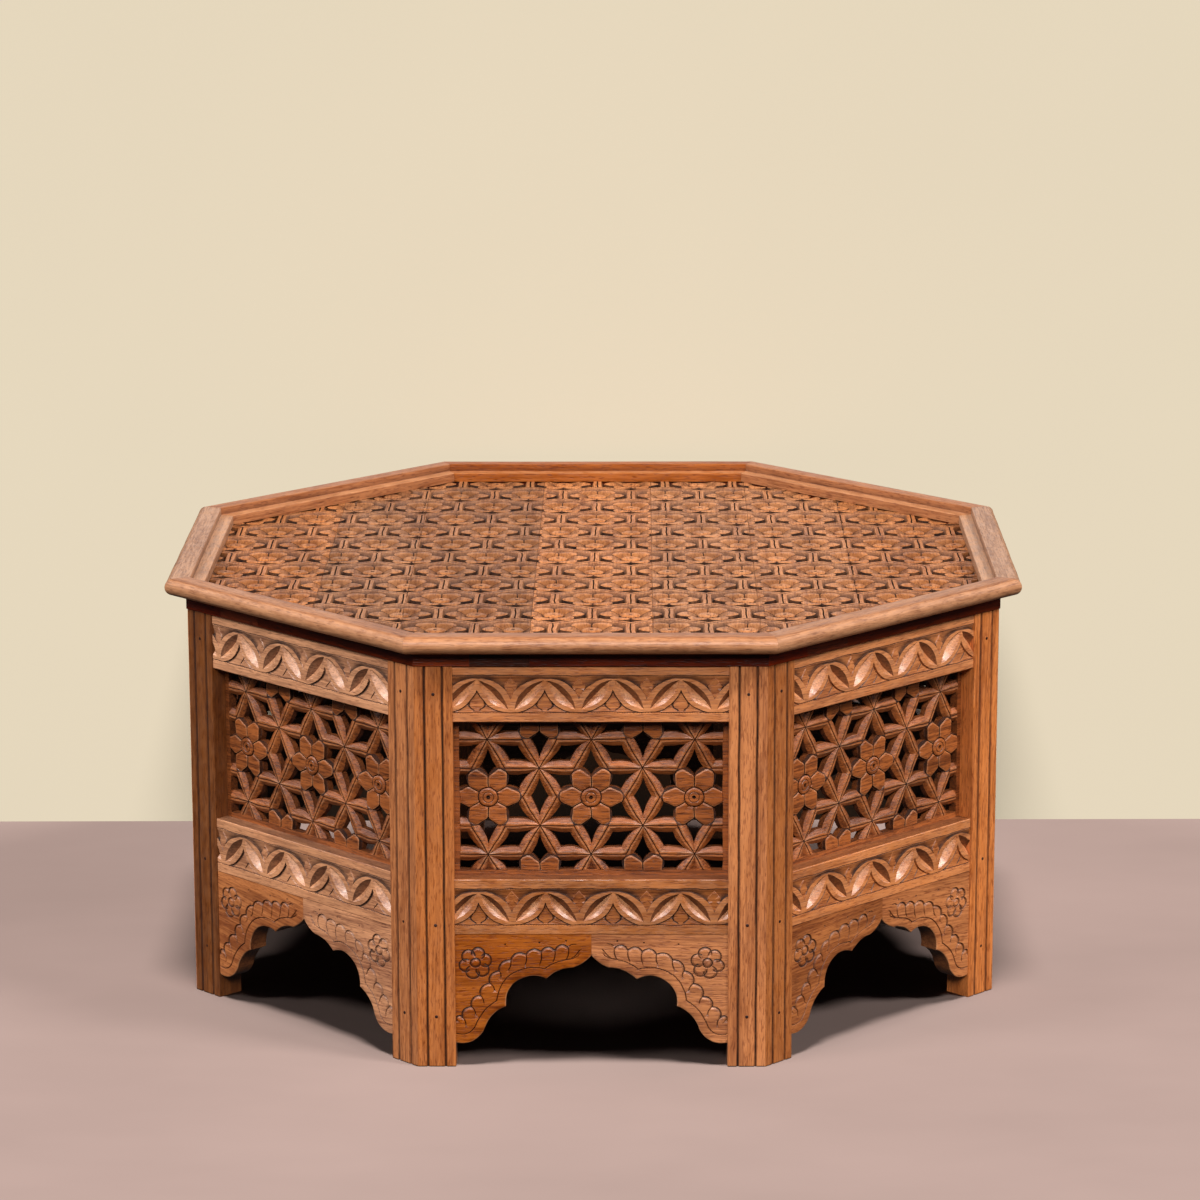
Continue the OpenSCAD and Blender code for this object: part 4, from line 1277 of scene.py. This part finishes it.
class CarvingSizes(bpy.types.PropertyGroup):
    """Sizes of the carving."""

    groove_width: size("Groove width", 1.0, "Width of the groove down each lattice bar")
    groove_depth: size("Groove depth", 1.2, "Depth of the groove down each lattice bar")
    bar_flat: size("Bar flat", 2.3, "Half width of the flat strip on each lattice bar")
    bar_bevel: size("Bar bevel", 3.4, "How far the bevels of a lattice bar fall to its edges")
    scoop_depth: size("Scoop depth", 6.2, "Depth of the hollow in each leaf of the rails")
    ground_depth: size("Ground depth", 2.0, "Depth of the ground over the leaves of the rails")
    top_ground: size("Top ground", 5.0, "Depth of the ground between the flowers of the top")
    engraving_width: size("Engraving width", 1.6, "Width of the lines in the spandrels")
    engraving_depth: size("Engraving depth", 1.5, "Depth of the lines in the spandrels")
    unevenness: size("Unevenness", 0.4, "How far hand work strays from its lines")


class WoodColours(bpy.types.PropertyGroup):
    """Colours of the woods and of the stage."""

    light: tint("Light wood", (204, 127, 74), "Light wood of the frame")
    dark: tint("Dark wood", (140, 76, 39), "Dark bands in the frame's wood")
    top_light: tint("Light top", (195, 130, 83), "Light wood of the top")
    top_dark: tint("Dark top", (132, 76, 43), "Dark bands in the top's wood")
    rim_light: tint("Light rim", (180, 119, 78), "Light wood of the rim")
    rim_dark: tint("Dark rim", (134, 78, 45), "Dark bands in the rim's wood")
    lattice_light: tint("Light lattice", (166, 92, 44), "Light wood of the lattice")
    lattice_dark: tint("Dark lattice", (88, 41, 17), "Dark bands in the lattice's wood")
    edging_light: tint("Light edging", (122, 50, 22), "Light wood of the edging strip")
    edging_dark: tint("Dark edging", (54, 16, 6), "Dark wood of the edging strip")
    # Painted shade: laid in the cuts, grooves, walls and backs and on shaded facets, partly as dark
    # polish
    cut: tint("In the cuts", (30, 10, 4), "Dark polish in the cuts")
    # Painted highlight: laid on lit facets, flats and edges, partly as rubbed pale edges
    wear: tint("Worn edges", (232, 170, 122), "Pale wear on the edges")
    # Painted sheen: laid on the flat tops of the top's bars, petals and bosses
    top_wear: tint("Worn top", (234, 184, 140), "Pale wear on the carving of the top")
    floor: tint("Floor", (196, 168, 158), "Pale stone floor")
    wall: tint("Wall", (233, 219, 192), "Cream wall")


# Operators, one for each kind of piece


class MadeUp:
    """Shared by the operators."""

    bl_options = {"REGISTER", "UNDO"}


# Each wood: its slot, the colours it goes between and that of its painted highlights and rubbed
# edges, how strong its bands and its streaks are, and how polished it is
INNER_WOOD = "inner_wood"
WOODS = (
    ("stile_wood", "light", "dark", "wear", 0.55, 0.7, 1.0),
    ("rail_wood", "light", "dark", "wear", 0.6, 0.75, 1.0),
    ("lattice_wood", "lattice_light", "lattice_dark", "wear", 0.55, 0.8, 0.7),
    ("spandrel_wood", "light", "dark", "wear", 0.85, 0.7, 1.0),
    ("rim_wood", "rim_light", "rim_dark", "wear", 0.6, 0.8, 0.4),
    ("board_wood", "top_light", "top_dark", "top_wear", 0.45, 0.6, 0.0),
    ("edging_wood", "edging_light", "edging_dark", "wear", 0.6, 0.5, 0.2),
    ("peg_wood", "edging_dark", "cut", "wear", 0.6, 0.5, 1.0),
    (INNER_WOOD, "light", "dark", "wear", 0.6, 0.5, 1.0),
)
KEPT_NODES = (("battens", INNER_WOOD), ("corner_blocks", INNER_WOOD), ("screws", "screw_steel"))


class TABLE_OT_woods(MadeUp, bpy.types.Operator):
    """Make the woods and the steel, and give them to the CAD parts that stay"""

    bl_idname = "table.woods"
    bl_label = "Woods"

    def execute(self, context):
        chosen = context.scene.table_colours
        groups = (grain_group(), plank_group(), cuts_group())
        for slot, light, dark, wear, *strengths in WOODS:
            colours = [(*getattr(chosen, key), 1) for key in (light, dark, "cut", wear)]
            wood(slot, colours, groups, *strengths)
        screw_steel()
        for node, slot in KEPT_NODES:
            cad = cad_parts[node]
            cad.data.materials.clear()
            cad.data.materials.append(bpy.data.materials[spoken(slot)])
        return {"FINISHED"}


def screw_steel():
    """Zinc-plated steel with a little tarnish."""
    material = bpy.data.materials.new(spoken("screw_steel"))
    material.use_nodes = True
    material.node_tree.nodes.clear()
    g = Graph(material.node_tree)
    patch = g.noise(g.node("TexCoord").outputs["Object"], (900.0, 900.0, 900.0), 3.0)
    shader = g.node("BsdfPrincipled")
    shader.inputs["Metallic"].default_value = 1.0
    g.feed(shader.inputs["Base Color"], g.blend(patch, (0.62, 0.58, 0.5, 1), (0.4, 0.37, 0.33, 1)))
    g.feed(shader.inputs["Roughness"], g.range(patch, 0.3, 0.7, 0.25, 0.5))
    g.feed(g.node("OutputMaterial").inputs[0], shader.outputs[0])
    return material


class TABLE_OT_lattice(MadeUp, bpy.types.Operator):
    """Carve the pierced lattice panels"""

    bl_idname = "table.lattice"
    bl_label = "Lattice panels"

    def execute(self, context):
        sizes = context.scene.table_sizes
        carving = lattice_carving(sizes)
        for i, side in enumerate(SIDES):
            move = hand_cut(100 + 7 * i, sizes.unevenness / MM, 0.06, 7.0)
            points, faces, stain = shut(carving, LATTICE_T, move)
            tone, warmth = tones(200 + i, 0.12)
            tone = tone + 0.15 * ripple(points[:, 0], points[:, 1], 320 + i, 90)
            place = standing(points, LATTICE_R, LATTICE_MID, i)
            body = Body()
            body.add(place, faces, run_of_grain(points, 300 + i), stain, tone, warmth)
            body.piece(f"lattice_{side}_carved", [f"lattice_{side}"], "lattice_wood", 18)
        return {"FINISHED"}


# How light and how warm the rails in front are, by side and row
RAIL_LOOKS = {
    (0, 0): (0.12, 0.05), (0, 1): (-0.6, 0.2), (7, 0): (0.33, -0.5), (7, 1): (0.18, -0.4),
    (1, 0): (0.24, 0.0), (1, 1): (0.03, 0.1),
}
RAIL_ROWS = (("top_rail", TOP_RAIL_Z), ("bottom_rail", BOTTOM_RAIL_Z))
# Where the first leaf peak of each side is, and the sides with the diamond between the leaves
FIRST_PEAKS = (-114.0, -86.0, -118.0, -108.0, -100.0, -112.0, -104.0, -95.0)
DIAMOND_SIDES = (0, 3)


class TABLE_OT_rails(MadeUp, bpy.types.Operator):
    """Carve the top and bottom rails with their leaves"""

    bl_idname = "table.rails"
    bl_label = "Rails"

    def execute(self, context):
        sizes = context.scene.table_sizes
        for i, side in enumerate(SIDES):
            for row, (prefix, z) in enumerate(RAIL_ROWS):
                carving = rail_carving(sizes, FIRST_PEAKS[i], i not in DIAMOND_SIDES)
                seed = 400 + 20 * i + row
                move = hand_cut(seed, sizes.unevenness / MM, 0.1, 2.0)
                points, faces, stain = shut(carving, RAIL_R - RAIL_BACK, move)
                tone, warmth = RAIL_LOOKS.get((i, row), tones(seed + 7, 0.2))
                tone = tone + 0.15 * ripple(points[:, 0], points[:, 1], seed + 11, 80)
                place = standing(points, RAIL_R, z, i)
                body = Body()
                body.add(place, faces, run_of_grain(points, seed + 9), stain, tone, warmth)
                body.piece(f"{prefix}_{side}_carved", [f"{prefix}_{side}"], "rail_wood", 20)
        return {"FINISHED"}


# How light and how warm each board is, from left to right
BOARD_LOOKS = (
    (-0.25, 0.2), (-0.45, 0.0), (-0.5, 0.1), (0.05, 0.15), (-0.08, 0.0), (-0.05, 0.05), (-0.2, 0.2),
)


class TABLE_OT_boards(MadeUp, bpy.types.Operator):
    """Carve the seven boards of the top"""

    bl_idname = "table.boards"
    bl_label = "Top boards"

    def execute(self, context):
        sizes = context.scene.table_sizes
        carving = top_carving(sizes)
        for n, (tone, warmth) in enumerate(BOARD_LOOKS):
            left, right = BOARD_JOINTS[n], BOARD_JOINTS[n + 1]
            board = carving.part(lambda x, y: (x > left) & (x < right))
            move = hand_cut(600 + n, sizes.unevenness / MM, 0.12, 3.0)
            points, faces, stain = shut(board, BOARD_TOP - BASE_TOP, move)
            tone = tone + 0.2 * ripple(points[:, 0], points[:, 1] / 3, 640 + n, 60)
            grain = run_of_grain(points[:, [1, 0, 2]], 620 + n)
            body = Body()
            body.add(points + [0, 0, BOARD_TOP], faces, grain, stain, tone, warmth)
            body.piece(f"board_{n + 1}_carved", [f"board_{n + 1}"], "board_wood", 20)
        return {"FINISHED"}


# How light and how warm the spandrels in front are, by side and half
SPANDREL_LOOKS = {
    (0, 0): (-0.52, 0.42), (0, 1): (-0.12, -0.1), (7, 0): (-0.2, 0.05), (7, 1): (0.28, -0.45),
    (1, 0): (-0.45, 0.1), (1, 1): (-0.1, 0.0),
}
SPANDREL_T = 22.0


class TABLE_OT_spandrels(MadeUp, bpy.types.Operator):
    """Cut and engrave the cusped spandrels"""

    bl_idname = "table.spandrels"
    bl_label = "Spandrels"

    def execute(self, context):
        sizes = context.scene.table_sizes
        carving = spandrel_carving(sizes)
        for i, side in enumerate(SIDES):
            body = Body()
            for half, flip in enumerate((1, -1)):
                seed = 700 + 20 * i + half
                points, faces, stain = shut(carving, SPANDREL_T, hand_cut(seed, 0.3, 0.08, 3.0))
                grain = run_of_grain(points, seed + 3, 0.12)
                points, faces = mirrored(points, faces, flip)
                tone, warmth = SPANDREL_LOOKS.get((i, half), tones(seed + 5, 0.3))
                tone = tone + 0.12 * ripple(points[:, 0] / 3, points[:, 1], seed + 7, 30)
                body.add(standing(points, RAIL_R, 0, i), faces, grain, stain, tone, warmth)
            body.piece(f"spandrels_{side}_carved", [f"spandrels_{side}"], "spandrel_wood", 24)
        return {"FINISHED"}


def mirrored(points, faces, flip):
    """A solid as it is, or with flip -1 its mirror image across the side's middle."""
    return points * [flip, 1, 1], [f[::flip] for f in faces]


def sweep(section, stations):
    """Faces of a closed section carried through stations, with both ends closed."""
    n = len(section)
    faces = []
    for s in range(stations - 1):
        for k in range(n):
            a, b = s * n + k, s * n + (k + 1) % n
            faces.append([a, b, b + n, a + n])
    first, last = list(range(n)), list(range((stations - 1) * n, stations * n))
    return faces + [first[::-1], last]


# The two V grooves down a stile: where they are, and their section as way along and depth
GROOVES_X = (FRAME_X + 10.5, CORNER_X - 10.5)
V_GROOVE = ((-2.1, 0), (-1.5, 0.25), (-0.25, 2.1), (0.25, 2.1), (1.5, 0.25), (2.1, 0))


def stile_section():
    """The right-hand stile's section as x and distance from the middle, with soft arrises."""
    soft = 1.1
    front = [
        (FRAME_X, BASE_R - 2.2), (FRAME_X + 0.12, BASE_R - soft), (FRAME_X + 0.4, BASE_R - 0.4),
        (FRAME_X + soft, BASE_R),
    ]
    for x in GROOVES_X:
        front += [(x + dx, BASE_R - deep) for dx, deep in V_GROOVE]
    end = CORNER_X - 0.05
    front += [(end - 1.6, BASE_R), (end - 0.7, BASE_R - 0.25), (end - 0.25, BASE_R - 0.6)]
    return front + [(INNER_R * MITRE - 0.05, INNER_R), (FRAME_X, INNER_R)]


def stile(seed):
    """A stile as points of the front side, its faces, and its painted light: painted shade in its
    grooves and on their shoulders, its faces a little lighter.
    """
    section = np.array(stile_section())
    levels = np.concatenate([[0.0, 0.8], np.linspace(8, BASE_TOP - 6, 56), [BASE_TOP]])
    points, stain = [], []
    off = np.min([np.abs(section[:, 0] - x) for x in GROOVES_X], 0)
    in_groove = (section[:, 1] > BASE_R - 3) & (off < 0.5)
    shoulder = (off > 1.4) & (off < 1.6)
    for z in levels:
        x, r = section[:, 0].copy(), section[:, 1].copy()
        wave = 0.25 * ripple(np.full(len(x), z), r * 0, seed, 70)
        inner = (r > BASE_R - 3) & (x > FRAME_X + 3) & (x < CORNER_X - 3)
        x = np.where(inner, x + wave, x)
        r = r - 0.12 * (1 + ripple(np.full(len(x), z), x, seed + 1, 60)) * (r > BASE_R - 0.1)
        if z == 0.0:
            r = np.where(r > BASE_R - 0.7, BASE_R - 0.7, r)
        points.append(np.column_stack([x, -r, np.full(len(x), z)]))
        # Painted shade in the V grooves and on their shoulders, and the faces painted a little
        # lighter
        stain.append(np.where(in_groove, 1.0, np.where(shoulder, 0.25, -0.05)))
    return np.vstack(points), sweep(section, len(levels)), np.concatenate(stain)


# How light and how warm the stiles in front are, by leg and half
STILE_LOOKS = {
    (7, 1): (-0.25, 0.2), (7, 0): (-0.1, 0.0), (0, 0): (0.05, 0.0), (0, 1): (-0.5, 0.2),
    (6, 1): (-1.25, 0.3), (1, 0): (0.3, 0.2),
}


class TABLE_OT_legs(MadeUp, bpy.types.Operator):
    """Shape the eight mitred legs with their V grooves"""

    bl_idname = "table.legs"
    bl_label = "Legs"

    def execute(self, context):
        for i in range(8):
            body = Body()
            for half, (side, flip) in enumerate(((i, 1), (i + 1, -1))):
                seed = 800 + 20 * i + half
                points, faces, stain = stile(seed)
                points, faces = mirrored(points, faces, flip)
                grain = run_of_grain(points[:, [2, 0, 1]], seed + 5)
                tone, warmth = STILE_LOOKS.get((i, half), tones(seed + 3, 0.25))
                body.add(on_side(points, side), faces, grain, stain, tone, warmth)
            body.piece(f"leg_{i + 1}_shaped", [f"leg_{i + 1}"], "stile_wood", 24)
        return {"FINISHED"}


RIM_T = TABLE_TOP - BOARD_TOP
LEDGE_H = 10.0


def rim_section():
    """The rim's section as distance from the middle and height over the boards."""
    t, half = RIM_T, RIM_T / 2
    step, ledge = RIM_R - 26.0, RIM_R - 40.0
    bullnose = [
        (RIM_R - half + half * math.cos(a), half + half * math.sin(a))
        for a in np.radians(np.linspace(-90, 90, 17))
    ]
    return [(ledge, 0.0), *bullnose] + [
        (step + 1.2, t), (step + 0.5, t - 0.15), (step + 0.1, t - 0.5), (step, t - 1.2),
        (step, LEDGE_H + 0.3), (step - 0.3, LEDGE_H), (ledge + 1.4, LEDGE_H), (ledge + 0.6, 9.8),
        (ledge + 0.15, 9.4), (ledge, 8.6),
    ]


RIM_STATIONS = 41
# How light and how warm each length of rim is, by side
RIM_LOOKS = (
    (-0.03, 0.0), (-0.1, -0.15), (-0.02, -0.6), (-0.1, 0.1), (-0.28, 0.6), (-0.1, 0.1),
    (0.02, -0.55), (-0.05, -0.1),
)


class TABLE_OT_rims(MadeUp, bpy.types.Operator):
    """Shape the rim mouldings with their ledge"""

    bl_idname = "table.rims"
    bl_label = "Rims"

    def execute(self, context):
        section = np.array(rim_section())
        r, h = section.T
        faces = [f[::-1] for f in sweep(section, RIM_STATIONS)]
        # Painted highlight on the outer band of the bullnose, partly rubbed edge, and painted light
        # on the ledge against the step's shade
        worn = (r > RIM_R - 5.5) | ((h > LEDGE_H - 0.5) & (h < LEDGE_H + 0.2))
        for i, side in enumerate(SIDES):
            seed = 900 + i
            points = []
            for t in np.linspace(-1, 1, RIM_STATIONS):
                x = t * (r * MITRE - 0.08)
                wave = 0.18 * (ripple(x, r, seed, 60) - 1) * (np.abs(t) < 0.99) * (h > 0.1)
                up = h + BOARD_TOP + 0.6 * wave * (h > 17.5)
                points.append(np.column_stack([x, -(r + wave * (r > RIM_R - 5)), up]))
            points = np.vstack(points)
            # Painted shade in the corner under the step
            in_corner = np.abs(points[:, 2] - BOARD_TOP - LEDGE_H - 0.15) < 0.2
            stain = np.where(np.tile(worn, RIM_STATIONS), -0.3, np.where(in_corner, 0.5, 0.0))
            grain = run_of_grain(points, seed + 20)
            body = Body()
            body.add(on_side(points, i), faces, grain, stain, *RIM_LOOKS[i])
            body.piece(f"rim_{side}_moulded", [f"rim_{side}"], "rim_wood", 30)
        return {"FINISHED"}


def block(x0, x1, r0, r1, z0, z1, soft):
    """A bar along the front side, its ends mitred or square and given as x in front and behind."""
    ring = [
        (r0, z0 + soft), (r0, z1 - soft), (r0 - soft, z1), (r1, z1), (r1, z0), (r0 - soft, z0),
    ]
    points = []
    for front, back in (x0, x1):
        for r, z in ring:
            share = (r0 - r) / (r0 - r1)
            points.append((front + (back - front) * share, -r, z))
    return np.array(points), sweep(ring, 2)


# Where the edging strip of a side is cut, as x in front and behind, and how light and how warm its
# three lengths are on every other side
EDGING_END = (EDGING_R * MITRE, BOARD_R * MITRE)
EDGING_CUTS = np.array([np.negative(EDGING_END), (-121.0, -121.0), (-61.0, -61.0), EDGING_END])
EDGING_GAP = 0.05
EDGING_LOOKS = (((0.4, 0.1), (-0.9, -0.2), (-0.5, 0.5)), ((0.3, 0.6), (0.1, 0.0), (-0.2, 0.3)))
# A peg's head: the heights of the three on a stile, and its rings as radius and way out
PEG_Z = (53.0, 150.0, 391.0)
PEG_RINGS = ((1.7, -2.0), (1.7, 0.0), (1.3, 0.12), (0.6, 0.2))
PEG_CORNERS = 12


class TABLE_OT_edging(MadeUp, bpy.types.Operator):
    """Lay the edging strip in its short lengths and set the pegs"""

    bl_idname = "table.edging"
    bl_label = "Edging and pegs"

    def execute(self, context):
        body = Body()
        back_r = BOARD_R + EDGING_GAP
        for i in range(8):
            for k, looks in enumerate(EDGING_LOOKS[i % 2]):
                x0, x1 = EDGING_CUTS[k] + EDGING_GAP, EDGING_CUTS[k + 1] - EDGING_GAP
                points, faces = block(x0, x1, EDGING_R, back_r, BASE_TOP, BOARD_TOP, 0.5)
                grain = run_of_grain(points, 1000 + 3 * i + k)
                body.add(on_side(points, i), faces, grain, 0.0, *looks)
        body.piece("edging_strip", ["edging"], "edging_wood")
        self.pegs()
        return {"FINISHED"}

    def pegs(self):
        """Small dark domed heads, as wide as the CAD pegs."""
        body = Body()
        middle = FRAME_X + (CORNER_X - FRAME_X) / 2
        for i in range(8):
            for x in (middle, -middle):
                for z in PEG_Z:
                    points = []
                    for r, out in PEG_RINGS:
                        across, up = circle(x, z, r, PEG_CORNERS).T
                        depth = np.full(PEG_CORNERS, -(BASE_R + out - 0.1))
                        points.append(np.column_stack([across, depth, up]))
                    points = np.vstack(points)
                    faces = sweep(points[:PEG_CORNERS], len(PEG_RINGS))
                    body.add(on_side(points, i), faces, run_of_grain(points, 1100 + i), 0.3)
        body.piece("peg_heads", ["pegs"], "peg_wood")


# The photograph's view: a long lens, looking down a little; the floor lies just under the feet
CAMERA_AT = (44.2, -4602.0, 1464.3)
CAMERA_DOWN, CAMERA_ROLL = math.radians(13.164), math.radians(-0.128)
CAMERA_TURN = math.radians(0.477)
CAMERA_LENS = 129.565
WALL_Y = 478.0
REACH = 40.0
FLOOR_Z = -0.0003
WORLD_COLOUR, WORLD_LIGHT = (0.93, 0.96, 1.0, 1), 0.03
# The stage is painted darker by this share and lit as much more by its own lamps, so that the
# table's shade on it is deep and the table's colour doesn't spill on it
SHADE = 0.35
# Each lamp: name, degrees round from the front and up, strength, softness, colour, what it lights
LAMPS = (
    ("left key", -64, 44, 1.5, 5, (0.97, 0.975, 1.0), "table"),
    ("right key", 66, 45, 1.85, 4, (1.0, 0.985, 0.98), "table"),
    ("left softbox", -58, 38, 1.1, 45, (0.93, 0.95, 1.0), "table"),
    ("right softbox", 58, 38, 1.1, 45, (1.0, 0.98, 0.97), "table"),
    ("front light", 0, 35, 1.85, 18, (1.0, 0.98, 0.97), "table"),
    ("back left", -126, 24, 0.7, 30, (1.0, 0.98, 0.96), "table"),
    ("back right", 126, 24, 0.7, 30, (1.0, 0.98, 0.96), "table"),
    ("back glow", 180, 14, 0.14, 30, (1.0, 0.98, 0.97), "table"),
    ("floor overhead", 0, 80, 2.5 / SHADE, 12, (1.0, 1.0, 1.0), "floor"),
    ("floor right", 66, 48, 0.9 / SHADE, 12, (1.0, 1.0, 1.0), "floor"),
    ("floor left", -64, 48, 0.3 / SHADE, 12, (1.0, 1.0, 1.0), "floor"),
    ("wall light", 0, 38, 3.82 / SHADE, 20, (1.0, 1.0, 1.0), "wall"),
)


class TABLE_OT_stage(MadeUp, bpy.types.Operator):
    """Lay the floor, stand the wall, hang the lamps and set the camera"""

    bl_idname = "table.stage"
    bl_label = "Stage"

    def execute(self, context):
        scene = context.scene
        colours = scene.table_colours
        scene.view_settings.view_transform = "Standard"
        r = REACH
        floor = self.plane("floor", [(-r, -r, 0), (r, -r, 0), (r, r, 0), (-r, r, 0)])
        wall = self.plane("wall", [(-r, 0, -1), (r, 0, -1), (r, 0, r), (-r, 0, r)])
        floor.location.z = FLOOR_Z
        wall.rotation_euler.z = CAMERA_TURN
        wall.location = (0, WALL_Y * MM, 0)
        wall.visible_shadow = False
        stage = {"floor": floor, "wall": wall}
        for item in stage.values():
            item.visible_diffuse = item.visible_glossy = False
        floor.data.materials.append(self.stone(colours.floor))
        wall.data.materials.append(self.paint(colours.wall))
        self.light(scene, stage)
        self.camera(scene)
        return {"FINISHED"}

    def plane(self, name, corners):
        """A flat sheet of the stage."""
        mesh = bpy.data.meshes.new(name)
        mesh.from_pydata(corners, [], [(0, 1, 2, 3)])
        made = bpy.data.objects.new(name, mesh)
        bpy.context.scene.collection.objects.link(made)
        return made

    def matt(self, name, colour, other, scale):
        """A matt surface whose colour wanders a little, and its graph and shader."""
        material = bpy.data.materials.new(name)
        material.use_nodes = True
        material.node_tree.nodes.clear()
        g = Graph(material.node_tree)
        patch = g.range(g.noise(g.node("TexCoord").outputs["Object"], scale, 4.0, 0.6), 0.3, 0.7)
        shader = g.node("BsdfPrincipled")
        shader.inputs["Roughness"].default_value = 0.8
        shader.inputs["Specular IOR Level"].default_value = 0.05
        shown, shaded = ((*(SHADE * c for c in tint_), 1) for tint_ in (colour, other))
        g.feed(shader.inputs["Base Color"], g.blend(patch, shown, shaded))
        return material, g, shader

    def stone(self, colour):
        """The floor's pale stone."""
        darker = [c * 0.86 for c in colour]
        material, g, shader = self.matt("floor", colour, darker, (1.3, 2.2, 1.0))
        g.feed(g.node("OutputMaterial").inputs[0], shader.outputs[0])
        return material

    def paint(self, colour):
        """Wall paint seen from the room alone, so a view from behind isn't blocked."""
        material, g, shader = self.matt("wall", colour, [c * 0.97 for c in colour], (0.8, 0.8, 0.8))
        both = g.node("MixShader")
        g.feed(both.inputs[0], g.node("NewGeometry").outputs["Backfacing"])
        g.feed(both.inputs[1], shader.outputs[0])
        g.feed(both.inputs[2], g.node("BsdfTransparent").outputs[0])
        g.feed(g.node("OutputMaterial").inputs[0], both.outputs[0])
        return material

    def light(self, scene, stage):
        """A dim world, and lamps that light the table, the floor or the wall alone."""
        world = bpy.data.worlds.new("studio")
        scene.world = world
        world.use_nodes = True
        back = world.node_tree.nodes["Background"]
        back.inputs["Color"].default_value = WORLD_COLOUR
        back.inputs["Strength"].default_value = WORLD_LIGHT
        for name, around, up, strength, soft, colour, target in LAMPS:
            lamp = bpy.data.lights.new(name, "SUN")
            lamp.energy, lamp.color, lamp.angle = strength, colour, math.radians(soft)
            made = bpy.data.objects.new(name, lamp)
            a, e = math.radians(around), math.radians(up)
            toward = Vector((math.sin(a) * math.cos(e), -math.cos(a) * math.cos(e), math.sin(e)))
            made.rotation_euler = (-toward).to_track_quat("-Z", "Y").to_euler()
            made.location = toward * 3
            scene.collection.objects.link(made)
            lit = bpy.data.collections.new(name)
            made.light_linking.receiver_collection = lit
            for key, item in stage.items():
                if target in ("table", key):
                    lit.objects.link(item)
            if target == "table":
                for item in lit.collection_objects:
                    item.light_linking.link_state = "EXCLUDE"

    def camera(self, scene):
        """The camera of the photograph, set from its place and its three turns."""
        data = bpy.data.cameras.new("camera")
        data.lens = CAMERA_LENS
        data.sensor_width = 36.0
        data.clip_end = 200.0
        camera = bpy.data.objects.new("camera", data)
        forward = Vector((0, math.cos(CAMERA_DOWN), -math.sin(CAMERA_DOWN)))
        up = Vector((0, math.sin(CAMERA_DOWN), math.cos(CAMERA_DOWN)))
        right = Vector((1, 0, 0))
        c, s = math.cos(CAMERA_ROLL), math.sin(CAMERA_ROLL)
        across, upward = c * right + s * up, c * up - s * right
        turn = Matrix.Rotation(CAMERA_TURN, 3, "Z")
        axes = Matrix((turn @ across, turn @ upward, turn @ -forward)).transposed()
        camera.matrix_world = Matrix.Translation(Vector(CAMERA_AT) * MM) @ axes.to_4x4()
        scene.collection.objects.link(camera)
        scene.camera = camera


class TABLE_PT_panel(bpy.types.Panel):
    """Buttons for the table's pieces"""

    bl_idname = "TABLE_PT_panel"
    bl_label = "Carved table"
    bl_space_type = "VIEW_3D"
    bl_region_type = "UI"
    bl_category = "Table"

    def draw(self, context):
        for operator in OPERATORS:
            self.layout.operator(operator.bl_idname)
        for group in (context.scene.table_sizes, context.scene.table_colours):
            for key in group.__annotations__:
                self.layout.prop(group, key)


OPERATORS = (
    TABLE_OT_woods, TABLE_OT_legs, TABLE_OT_rails, TABLE_OT_lattice, TABLE_OT_spandrels,
    TABLE_OT_boards, TABLE_OT_edging, TABLE_OT_rims, TABLE_OT_stage,
)
CLASSES = (CarvingSizes, WoodColours, *OPERATORS, TABLE_PT_panel)


def register():
    for cls in CLASSES:
        bpy.utils.register_class(cls)
    bpy.types.Scene.table_sizes = PointerProperty(type=CarvingSizes)
    bpy.types.Scene.table_colours = PointerProperty(type=WoodColours)


def unregister():
    del bpy.types.Scene.table_sizes
    del bpy.types.Scene.table_colours
    for cls in reversed(CLASSES):
        bpy.utils.unregister_class(cls)


def main():
    register()
    for operator in OPERATORS:
        group, name = operator.bl_idname.split(".")
        getattr(getattr(bpy.ops, group), name)()


if __name__ == "__main__":
    main()
